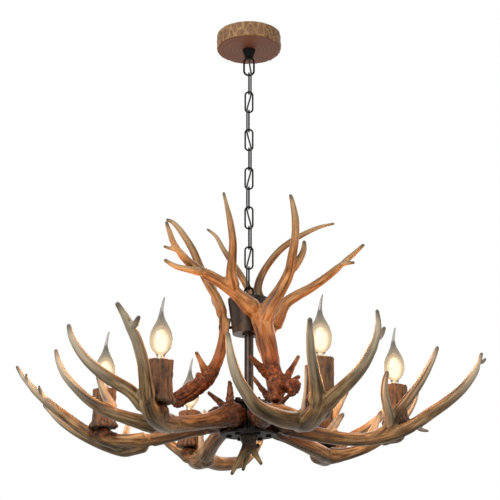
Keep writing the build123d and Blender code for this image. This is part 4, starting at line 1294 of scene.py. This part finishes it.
@dataclass
class Bulb:
    """A flame-tip candle bulb: blown glass with a leaning drawn tail, threaded cap and filament."""

    index: int
    centre: Vector
    cap_radius: float = 0.0069
    cap_show: float = 0.006
    cap_length: float = 0.027
    thread_depth: float = 0.0009
    threads: int = 7
    stem_radius: float = 0.0028
    stem: tuple[tuple[float, float], ...] = (
        (0.0024, 0.006), (0.0016, 0.012), (0.0022, 0.018), (0.0012, 0.0205), (0.0, 0.021))
    belly_radius: float = 0.0175
    rises: tuple[float, ...] = (
        0.0060, 0.0085, 0.0120, 0.0165, 0.0215, 0.0265, 0.0315, 0.0370, 0.0425, 0.0480, 0.0535,
        0.0590, 0.0645, 0.0700, 0.0760, 0.0830, 0.0900, 0.0950)
    belly_shares: tuple[float, ...] = (
        0.345, 0.42, 0.60, 0.80, 0.935, 0.99, 1.0, 0.975, 0.90, 0.775, 0.61, 0.44, 0.30, 0.215,
        0.165, 0.130, 0.105, 0.075)
    tip_rise: float = 0.097
    tail_rise: float = 0.058
    lean: float = 0.004
    bow: float = 0.0012
    wall: float = 0.0008
    hollow_rise: float = 0.071
    hollow_tip: float = 0.0752
    long_edge: float = 0.0035
    strands: int = 6
    strand: tuple[tuple[float, float], ...] = (
        (0.0022, 0.018), (0.0052, 0.027), (0.0052, 0.034), (0.0026, 0.044))
    strand_span: float = 0.062
    wire_radius: float = 0.00035
    glow_sizes: tuple[tuple[float, float, float], ...] = (
        (0.0142, 0.0225, 0.0300), (0.0118, 0.0190, 0.0282), (0.0084, 0.0148, 0.0264))

    def outline(self, inset: float) -> list[tuple[float, float]]:
        """Give the glass outline from the neck to the tip.

        Args:
            inset: How far inside the outer surface the outline lies.

        Returns:
            Points of (radius, height).
        """
        points = [(max(share * self.belly_radius - inset, 0.0003), rise)
                  for share, rise in zip(self.belly_shares, self.rises)]
        return points + [(0.0, self.tip_rise - inset)]

    def leaned(self, mesh: bpy.types.Mesh) -> None:
        """Bend the drawn tail sideways, more towards its end.

        Args:
            mesh: The upright glass.
        """
        places = coordinates(mesh)
        rise = places[:, 2] - self.centre.z
        share = np.clip((rise - self.tail_rise) / (self.tip_rise - self.tail_rise), 0, 1)
        places[:, 0] += self.lean * (1.9 * share * share - 0.9 * share ** 3)
        places[:, 0] -= self.bow * np.sin(share * math.pi)
        set_coordinates(mesh, places)

    def glass(self, material: bpy.types.Material) -> bpy.types.Object:
        """Build the blown glass with its thin wall, solid in the tail.

        Args:
            material: The glass finish.

        Returns:
            The finished glass.
        """
        inner = [point for point in self.outline(self.wall) if point[1] < self.hollow_rise]
        inner.append((0.0, self.hollow_tip))
        shape = spun(self.outline(0.0) + inner[::-1], self.centre, 48, True)
        long_edges = [edge for edge in shape.edges if edge.calc_length() > self.long_edge]
        bmesh.ops.subdivide_edges(shape, edges=long_edges, cuts=1, smooth=0.4)
        mesh = mesh_from(shape, "glass")
        self.leaned(mesh)
        piece = link_mesh(f"flame_glass_{self.index}", mesh, material)
        piece.visible_shadow = False
        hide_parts(f"bulb_glass_{self.index}")
        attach(piece, f"bulb_{self.index}")
        return piece

    def cap(self, metal: bpy.types.Material, stem_glass: bpy.types.Material) -> bpy.types.Object:
        """Build the threaded cap, its contact and the glass stem on it.

        Args:
            metal: The cap's finish.
            stem_glass: The stem's finish.

        Returns:
            The finished cap.
        """
        top, foot = self.cap_show, self.cap_show - self.cap_length
        crest, root = self.cap_radius, self.cap_radius - self.thread_depth
        corners = [(0.0, foot), (0.0026, foot), (0.0034, foot + 0.002), (0.0052, foot + 0.004)]
        pitch = (self.cap_length - 0.008) / self.threads
        for turn in range(self.threads):
            base = foot + 0.004 + turn * pitch
            corners += [(root, base + pitch * 0.1), (crest, base + pitch * 0.4),
                        (crest, base + pitch * 0.6), (root, base + pitch * 0.9)]
        corners += [(crest - 0.0003, top - 0.0032), (crest - 0.0003, top - 0.0006), (root, top),
                    (self.stem_radius, top)]
        corners += [(radius, top + rise) for radius, rise in self.stem]
        mesh = mesh_from(spun(corners, self.centre, 40, False), "cap")
        piece = link_mesh(f"thread_cap_{self.index}", mesh, metal, stem_glass)
        for face in mesh.polygons:
            face.material_index = 1 if face.center.z > self.centre.z + top + 0.0003 else 0
        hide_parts(f"bulb_cap_{self.index}")
        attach(piece, f"bulb_{self.index}")
        return piece

    def filament(self, wire: bpy.types.Material) -> bpy.types.Object:
        """Build the glowing strands that run up and down round the stem.

        Args:
            wire: The wire's finish.

        Returns:
            The finished filament.
        """
        places = []
        for number in range(self.strands):
            turn = 2 * math.pi * number / self.strands
            for radius, rise in self.strand:
                level = rise if number % 2 == 0 else self.strand_span - rise
                places.append(self.centre + Vector(
                    (radius * math.cos(turn), radius * math.sin(turn), level)))
        curve, spline = new_curve("strands", "POLY", places)
        curve.bevel_depth = self.wire_radius
        curve.bevel_resolution = 2
        spline.use_cyclic_u = True
        mesh = solved_mesh(curve)
        mesh.materials.clear()
        piece = link_mesh(f"filament_{self.index}", mesh, wire)
        piece.visible_shadow = False
        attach(piece, f"bulb_{self.index}")
        return piece

    def glow(self, haloes: Sequence[bpy.types.Material]) -> bpy.types.Object:
        """Build the light round the filament as egg shapes, one inside the other.

        Args:
            haloes: The glow finishes, from the outer to the inner.

        Returns:
            The finished glow.
        """
        shape = bmesh.new()
        for layer, (radius, half, rise) in enumerate(self.glow_sizes):
            place = Matrix.Translation(self.centre + Vector((0, 0, rise)))
            stretch = Matrix.Diagonal((radius, radius, half, 1))
            made = bmesh.ops.create_icosphere(shape, subdivisions=3, radius=1.0,
                                              matrix=place @ stretch)["verts"]
            for face in {face for vert in made for face in vert.link_faces}:
                face.material_index = layer
        mesh = mesh_from(shape, "glow")
        piece = link_mesh(f"filament_glow_{self.index}", mesh, *haloes)
        piece.visible_shadow = False
        piece.visible_diffuse = False
        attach(piece, f"bulb_{self.index}")
        return piece


@dataclass
class Canopy:
    """The ceiling boss: a slice of a bark-covered branch, hollow above its ringed floor."""

    radius: float = 0.057
    height: float = 0.028
    wall: float = 0.003
    bore_radius: float = 0.0052
    bark_depth: float = 0.0016
    ring_depth: float = 0.00025
    chip_azimuth: float = -0.12
    chip_width: float = 0.09
    chip_depth: float = 0.0022
    chip_foot: float = -0.012
    profile_step: float = 0.0016
    segments: int = 220

    def profile(self) -> list[tuple[float, float]]:
        """Give the wall's section, down the outside and back up the inside.

        Returns:
            Corners of (radius, height).
        """
        foot = -self.height
        return [
            (self.radius - self.wall, -0.0001), (self.radius - 0.0006, -0.0001),
            (self.radius, -0.0009), (self.radius, foot + 0.0022),
            (self.radius - 0.0007, foot + 0.0008), (self.radius - 0.0024, foot),
            (self.bore_radius, foot), (self.bore_radius, foot + self.wall),
            (self.radius - self.wall, foot + self.wall)]

    def build(self, bark: bpy.types.Material, wood: bpy.types.Material) -> bpy.types.Object:
        """Build the slice with bark round its side and rings under it.

        Args:
            bark: The finish of its side.
            wood: The finish of its cut faces.

        Returns:
            The finished canopy.
        """
        corners = self.profile()
        points = along_profile(corners + [corners[0]], self.profile_step)[:-1]
        mesh = mesh_from(spun(points, Vector((0, 0, 0)), self.segments, True), "canopy")
        places, outward = coordinates(mesh), normals(mesh)
        relief = np.empty(len(places))
        for i, (x, y, z) in enumerate(places):
            radius, turn = math.hypot(x, y), math.atan2(y, x)
            rim = smooth_step(np.array(radius), self.radius - 0.004, self.radius - 0.001)
            seat = Vector((math.cos(turn) * 7, math.sin(turn) * 7, z * 90))
            ridges = 0.7 * (1 - 2.2 * abs(noise.noise(seat))) + 0.5 * noise.noise(seat * 2.7)
            chip = math.exp(-((turn - self.chip_azimuth) / self.chip_width) ** 2)
            chip *= float(z > self.chip_foot)
            height = rim * (self.bark_depth * (ridges - 0.75) - self.chip_depth * chip)
            if z < -self.height + 0.0005 and radius < self.radius - 0.002:
                rings = noise.noise(Vector((radius * 420, math.cos(turn), math.sin(turn))))
                height += self.ring_depth * rings
            places[i] += outward[i] * np.array((1, 1, 0 if z > -0.001 else 1)) * height
            relief[i] = 0.5 + 0.5 * ridges
        set_coordinates(mesh, places)
        set_attribute(mesh, "relief", np.clip(relief, 0, 1))
        piece = link_mesh("canopy_slice", mesh, bark, wood)
        for face in mesh.polygons:
            radius = math.hypot(face.center.x, face.center.y)
            face.material_index = 1 if radius < self.radius - 0.0016 else 0
        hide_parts("canopy")
        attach(piece, "ceiling")
        return piece


@dataclass
class SupplyCord:
    """The two-core supply cord, threaded through the chain from the canopy into the stem.

    The cord passes each joint of the chain beside its wires. Every ring carries its own length of
    cord, and the lengths lap over each other at the joints, where the rings turn a few degrees.
    """

    radius: float = 0.0015
    ring_wire: float = 0.0015
    loop_wire: float = 0.00175
    gap: float = 0.0006
    wire_gap: float = 0.00015
    straight: float = 0.0052
    nipple_top: float = -0.004
    loop_top: float = -0.041
    loop_foot: float = -0.0785
    first_ring_top: float = -0.0717
    ring_pitch: float = 0.0357
    ring_length: float = 0.042
    stem_mouth: float = -0.4849
    end: float = -0.5139
    lap: float = 0.002
    sides: int = 12

    def joint_levels(self) -> list[float]:
        """Work out where loop and rings hang in each other.

        Returns:
            The joints' heights, from the top down.
        """
        first = self.loop_foot + 2 * self.loop_wire + self.wire_gap
        foot = self.first_ring_top - self.ring_length + 2 * self.ring_wire + self.wire_gap
        return [first] + [foot - k * self.ring_pitch for k in range(LINK_COUNT)]

    def route(self) -> list[Vector]:
        """Work out the points that the cord's line is drawn with.

        Returns:
            The points, from the nipple to the wiring cup.
        """
        side = self.ring_wire + self.radius + self.gap
        front = self.loop_wire + self.radius + self.gap
        points = [Vector((0, 0, self.nipple_top)),
                  Vector((0, 0, self.loop_top - 2 * self.loop_wire - 0.006))]
        way = 1
        for number, crossing in enumerate(self.joint_levels()):
            behind = front if number % 2 else -front
            points += [Vector((way * side, behind, crossing + self.straight / 2)),
                       Vector((way * side, behind, crossing - self.straight / 2))]
            if number % 2:
                way = -way
        points[-1].z = (self.first_ring_top - (LINK_COUNT - 1) * self.ring_pitch
                        - self.ring_length - self.radius)
        return points + [Vector((0, 0, self.stem_mouth)), Vector((0, 0, self.end))]

    def centreline(self) -> list[Vector]:
        """Draw the route as one smooth line and read it back.

        Returns:
            Close points along the line.
        """
        curve, spline = new_curve("cord_line", "NURBS", self.route())
        curve.resolution_u = 12
        spline.order_u = 3
        spline.use_endpoint_u = True
        line = solved_mesh(curve)
        places = [vertex.co.copy() for vertex in line.vertices]
        bpy.data.meshes.remove(line)
        return places

    def tube(self, line: Sequence[Vector]) -> bpy.types.Mesh:
        """Draw the cord's circle along part of its line.

        Args:
            line: The points of the part.

        Returns:
            The closed tube.
        """
        shape = bmesh.new()
        frames = [facing(place, *way) for place, way in zip(line, directions(line))]
        sweep(shape, frames, self.sides, self.radius)
        bmesh.ops.recalc_face_normals(shape, faces=shape.faces)
        return mesh_from(shape, "cord")

    def build(self, material: bpy.types.Material) -> list[bpy.types.Object]:
        """Build the cord in lengths, each carried by the ring that it is threaded through.

        Args:
            material: The cord's finish.

        Returns:
            The lengths, from the top down.
        """
        line = self.centreline()
        cuts = [self.nipple_top + 1] + self.joint_levels() + [self.end - 1]
        bodies = ["ceiling"] + [f"link_{k:02d}" for k in range(1, LINK_COUNT + 1)] + ["fixture"]
        pieces = []
        for k, body in enumerate(bodies):
            part = [p for p in line if cuts[k + 1] - self.lap <= p.z <= cuts[k] + self.lap]
            piece = link_mesh(f"cord_length_{k + 1:02d}", self.tube(part), material)
            if k == 0:
                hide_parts("supply_cord")
            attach(piece, body)
            pieces.append(piece)
        return pieces


@dataclass
class Finial:
    """The boss under the hub: a cone of bark with four small tines growing out of it."""

    cone: tuple[Station, ...] = ((0, 0, -79.3, 15.0), (0, 0, -84, 14.0), (0, 0, -92, 11.5),
                                 (0, 0, -101.0, 8.0))

    def build(self, material: bpy.types.Material) -> bpy.types.Object:
        """Build the cone and its tines as one grown piece.

        Args:
            material: The finial's finish.

        Returns:
            The finished finial.
        """
        limbs = (Limb("cone", Growth.BURR, self.cone),) + FINIAL_TINES
        return Antler("bark_finial", ("finial",), 0.0, limbs, "finial_bark", rough_near=-0.094,
                      rough_far=-0.112, rough_by_level=True, seed=9.1, voxel=0.0009,
                      bark_depth=0.0011, pale_length=0.05, melt_radius=0.004,
                      melt_rounds=6).build(material)


@dataclass(frozen=True)
class SoftLamp:
    """A square soft lamp: its place and its side in metres, its power in watts and its colour."""

    name: str
    place: tuple[float, float, float]
    side: float
    power: float
    colour: str


@dataclass
class Studio:
    """A pale floor, soft lamps, the lit bulbs' own light and the camera of the photograph."""

    floor_height: float = -1.45
    floor_half: float = 4.0
    camera_place: tuple[float, float, float] = (0.0018, -2.0, -1.0459)
    camera_pitch: float = 17.9
    lens: float = 90.0
    world_strength: float = 0.26
    aim_height: float = -0.55
    bulb_power: float = 1.0
    bulb_colour: str = "ffa95c"
    bulb_size: float = 0.013
    filament_rise: float = 0.032
    soft_lamps: tuple[SoftLamp, ...] = (
        SoftLamp("key_lamp", (-1.3, -2.3, 0.5), 1.5, 60.0, "fff8f0"),
        SoftLamp("fill_lamp", (1.9, -1.7, -0.4), 1.8, 14.0, "fff4e6"),
        SoftLamp("back_lamp", (0.4, 1.9, 0.4), 1.6, 20.0, "fff8f0"))

    @staticmethod
    def seen(tree: bpy.types.NodeTree) -> Socket:
        """Give 1 where the camera sees a surface straight, in a mirror or through glass.

        Args:
            tree: The node tree to add to.

        Returns:
            The socket of the result.
        """
        path = add_node(tree, "LightPath")
        clear = add_node(tree, "Math", {"operation": "MAXIMUM"}, {
            0: path.outputs["Is Camera Ray"], 1: path.outputs["Is Transmission Ray"]})
        both = add_node(tree, "Math", {"operation": "MAXIMUM"}, {
            0: clear.outputs["Value"], 1: path.outputs["Is Glossy Ray"]})
        return both.outputs["Value"]

    def world(self) -> None:
        """Light the object evenly and show plain white behind it."""
        world = bpy.data.worlds.new("studio")
        bpy.context.scene.world = world
        world.use_nodes = True
        tree = world.node_tree
        tree.nodes.clear()
        soft = add_node(tree, "Background", None, {
            "Color": linear("fff8f0"), "Strength": self.world_strength})
        white = add_node(tree, "Background", None, {"Color": linear("ffffff"), "Strength": 1.0})
        both = add_node(tree, "MixShader", None, {
            0: self.seen(tree), 1: soft.outputs["Background"], 2: white.outputs["Background"]})
        add_node(tree, "OutputWorld", None, {"Surface": both.outputs["Shader"]})

    def floor(self) -> None:
        """Lay a plain pale floor below the object."""
        shape = bmesh.new()
        bmesh.ops.create_grid(shape, x_segments=1, y_segments=1, size=self.floor_half,
                              matrix=Matrix.Translation((0, 0, self.floor_height)))
        material, tree, output = new_material("pale_painted_floor")
        paint = add_node(tree, "BsdfDiffuse", None, {"Color": linear("f2f2f0")})
        shade = add_node(tree, "BsdfDiffuse", None, {"Color": linear("7d7a75")})
        white = add_node(tree, "Emission", None, {"Color": linear("ffffff"), "Strength": 0.45})
        lit = add_node(tree, "AddShader", None, {
            0: paint.outputs["BSDF"], 1: white.outputs["Emission"]})
        both = add_node(tree, "MixShader", None, {
            0: self.seen(tree), 1: shade.outputs["BSDF"], 2: lit.outputs["Shader"]})
        tree.links.new(both.outputs["Shader"], output.inputs["Surface"])
        floor = link_mesh("floor", mesh_from(shape, "floor"), material)

    @staticmethod
    def hang(light: bpy.types.Light, place: Sequence[float], colour: str) -> bpy.types.Object:
        """Hang a light where glass doesn't show it.

        Args:
            light: The light.
            place: Where it hangs.
            colour: Its colour.

        Returns:
            The light's object.
        """
        light.color = linear(colour)[:3]
        lamp = bpy.data.objects.new(light.name, light)
        lamp.visible_transmission = False
        lamp.location = place
        bpy.context.scene.collection.objects.link(lamp)
        return lamp

    def lights(self, bulb_places: Sequence[Vector]) -> None:
        """Hang the soft lamps, and the warm light of each lit bulb at its filament.

        Args:
            bulb_places: The middles of the candle cups' rims.
        """
        for lamp in self.soft_lamps:
            light = bpy.data.lights.new(lamp.name, "AREA")
            light.size, light.energy = lamp.side, lamp.power
            aim = Vector((0, 0, self.aim_height)) - Vector(lamp.place)
            self.hang(light, lamp.place, lamp.colour).rotation_euler = (
                aim.to_track_quat("-Z", "Y").to_euler())
        for index, place in enumerate(bulb_places, 1):
            light = bpy.data.lights.new(f"bulb_light_{index}", "POINT")
            light.shadow_soft_size, light.energy = self.bulb_size, self.bulb_power
            self.hang(light, place + Vector((0, 0, self.filament_rise)), self.bulb_colour)

    def camera(self) -> None:
        """Stand the camera where the photograph was taken from."""
        data = bpy.data.cameras.new("camera")
        data.lens = self.lens
        data.sensor_width = 36.0
        camera = bpy.data.objects.new("camera", data)
        camera.location = self.camera_place
        camera.rotation_euler = (math.radians(90 + self.camera_pitch), 0, 0)
        bpy.context.scene.collection.objects.link(camera)
        bpy.context.scene.camera = camera

    def build(self, bulb_places: Sequence[Vector]) -> None:
        """Set up the whole studio.

        Args:
            bulb_places: The middles of the candle cups' rims.
        """
        self.camera()
        self.world()
        self.floor()
        self.lights(bulb_places)
        bpy.context.scene.view_settings.view_transform = "Standard"


@dataclass(frozen=True)
class Finishes:
    """The finishes of the whole chandelier, each built once."""

    lower: AntlerFinish = AntlerFinish(
        "stained_resin_antler_grey_brown", dark="3c2814", middle="836a49", light="b39b76",
        tip="ded8c4", tip_end="67615a", bark_dark="1a0e08", bark="462a17", bark_light="7d5632",
        root="a8753f")
    upper: AntlerFinish = AntlerFinish(
        "stained_resin_antler_tan", dark="563a22", middle="9b764f", light="ba9b72",
        tip="b7a988", tip_end="5a4e3e", bark_dark="1f0e07", bark="4f2b16", bark_light="85532e",
        root="b47c54")
    cup_bark: BarkFinish = BarkFinish(
        "rough_dark_bark", crack="140b07", middle="3f2a1b", ridge="755234", vein="8a6440",
        vein_share=0.22)
    finial_bark: AntlerFinish = AntlerFinish(
        "dark_bark_and_horn", dark="4a3823", middle="7d6744", light="9c875f", tip="ab9b74",
        tip_end="3d352b", bark_dark="120a05", bark="38261a", bark_light="765636",
        root="8a6a48")
    canopy_bark: BarkFinish = BarkFinish(
        "veined_branch_bark", crack="2e1b10", middle="634128", ridge="82603f", vein="ad8e62",
        vein_share=0.8)
    canopy_wood: RingedWoodFinish = RingedWoodFinish(
        "ringed_cut_wood", ring="3f2416", wood="643d27", pale="7d5237")
    black_iron: MetalFinish = MetalFinish(
        "black_lacquered_iron", colour="0a0909", rubbed="1b1815", metallic=0.0,
        roughness=0.55, grain_mm=4.0, specular=0.10)
    bronze_iron: MetalFinish = MetalFinish(
        "brown_bronze_lacquered_iron", colour="1d1712", rubbed="4a3c2e", metallic=0.45,
        roughness=0.34)
    zinc_steel: MetalFinish = MetalFinish(
        "zinc_plated_steel", colour="a9a9a4", rubbed="c9c9c2", metallic=1.0, roughness=0.35)
    cap_metal: MetalFinish = MetalFinish(
        "nickel_plated_brass_cap", colour="b3ad9d", rubbed="d6d0c0", metallic=1.0, roughness=0.28,
        patch_mm=3.0)
    cord_sleeve: MouldedFinish = MouldedFinish(
        "black_pvc_cord_sleeve", colour="100f0e", roughness=0.5, ior=1.52)
    socket_plastic: MouldedFinish = MouldedFinish(
        "black_phenolic_socket", colour="1b1a19", roughness=0.4, ior=1.6)
    block_plastic: MouldedFinish = MouldedFinish(
        "cream_polyamide_block", colour="ddd6c4", roughness=0.5, ior=1.53)
    connector_plastic: MouldedFinish = MouldedFinish(
        "orange_polypropylene_connector", colour="c87a2c", roughness=0.45, ior=1.49)
    # The first colour of each glass is a painted glow of the lit filament; the second is the grey
    # of the tail.
    clear_glass: GlassFinish = GlassFinish("clear_blown_glass", painted_glow="ebdcc2", tail="aaa69e")
    stem_glass: GlassFinish = GlassFinish(
        "pressed_stem_glass", painted_glow="f4efe2", tail="e6e2da", roughness=0.05)
    wire: GlowFinish = GlowFinish("burning_tungsten", colour="ffd9a0", strength=9.0, cover=1.0)
    haloes: tuple[GlowFinish, ...] = (
        GlowFinish("outer_filament_glow", colour="fff0d8", strength=1.0, cover=0.32),
        GlowFinish("middle_filament_glow", colour="fff8ec", strength=1.5, cover=0.55),
        GlowFinish("inner_filament_glow", colour="fffdf8", strength=3.0, cover=0.75))


class Chandelier:
    """The whole object: it builds every piece and dresses the nodes that stay as they are."""

    def __init__(self, finishes: Finishes) -> None:
        """Keep the finishes."""
        self.finishes = finishes

    def lamp_places(self) -> list[Vector]:
        """Give the middle of each candle cup's rim."""
        return [placed((LAMP_CIRCLE_MM, 0, 0), angle) for angle in LAMP_ANGLES]

    def antlers(self) -> list[Antler]:
        """Describe the lower and the upper antlers.

        Returns:
            The six lower antlers in their order round the ring, then the three upper ones.
        """
        kinds = (LOW_SWEPT, SWEPT_LEFT, CROSSED, LEVEL_TOPPED, SWEPT_LEFT, CROSSED)
        lower = [Antler(f"ring_antler_{i}", (f"lower_antler_{i}",), angle, limbs, "lower_antler",
                        rough_near=0.048, rough_far=0.112, seed=i * 1.7, warm_reach=2.2)
                 for i, (limbs, angle) in enumerate(zip(kinds, LAMP_ANGLES), 1)]
        crowns = (UPPER_FOOT + FRONT_CROWN, UPPER_FOOT + BACK_CROWN, SIDE_ANTLER)
        angles = (LAMP_ANGLES[2], LAMP_ANGLES[4], LAMP_ANGLES[0])
        upper = [Antler(f"crown_antler_{i}", (f"upper_antler_{i}",), angle, limbs, "upper_antler",
                        rough_near=0.004, rough_far=0.056, rough_by_level=True, seed=20 + i * 2.3,
                        pale_length=0.10, warm_reach=2.9)
                 for i, (limbs, angle) in enumerate(zip(crowns, angles), 1)]
        return lower + upper

    def dress_nodes(self) -> None:
        """Give each node that stays as it is its finish."""
        finishes = self.finishes
        black, bronze = finishes.black_iron.build(), finishes.bronze_iron.build()
        zinc = finishes.zinc_steel.build()
        groups = {
            black: ["collar_nut", "canopy_loop", "fixture_loop", "hub_bottom_plate",
                    "hub_top_plate", "lower_antler_bolts", "finial_nut", "upper_antler_bolts"]
            + [f"chain_link_{k:02d}" for k in range(1, LINK_COUNT + 1)],
            bronze: ["wiring_cup", "cup_cover", "stem_tube"],
            zinc: ["ceiling_bracket", "stem_nut"],
            finishes.block_plastic.build(): ["terminal_block"],
            finishes.connector_plastic.build(): ["wire_connectors"],
            finishes.socket_plastic.build(): ["lamp_sockets"],
        }
        for material, names in groups.items():
            for name in names:
                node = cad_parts[name]
                if not node.material_slots:
                    node.data.materials.append(material)
                for place in node.material_slots:
                    place.material = material
                log.info("dressed %s with %s", name, material.name)

    def build(self) -> None:
        """Build every piece in order, from the antlers to the canopy."""
        finishes = self.finishes
        materials = {"lower_antler": finishes.lower.build(), "upper_antler": finishes.upper.build()}
        for antler in self.antlers():
            piece = antler.build(materials[antler.slot])
            log.info("%s: %d faces", piece.name, len(piece.data.polygons))
        Finial().build(finishes.finial_bark.build())
        bark = finishes.cup_bark.build()
        glass, stem = finishes.clear_glass.build(), finishes.stem_glass.build()
        cap, wire = finishes.cap_metal.build(), finishes.wire.build()
        haloes = [halo.build() for halo in finishes.haloes]
        for index, place in enumerate(self.lamp_places(), 1):
            CandleCup(index, place).build(bark)
            bulb = Bulb(index, place)
            bulb.cap(cap, stem)
            bulb.glass(glass)
            bulb.filament(wire)
            bulb.glow(haloes)
            log.info("lamp %d built", index)
        Canopy().build(finishes.canopy_bark.build(), finishes.canopy_wood.build())
        SupplyCord().build(finishes.cord_sleeve.build())
        self.dress_nodes()


def main() -> None:
    """Build the chandelier and its studio."""
    logging.basicConfig(level=logging.INFO, format="%(message)s")
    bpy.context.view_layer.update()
    chandelier = Chandelier(Finishes())
    Studio().build(chandelier.lamp_places())
    chandelier.build()


if __name__ == "__main__":
    main()
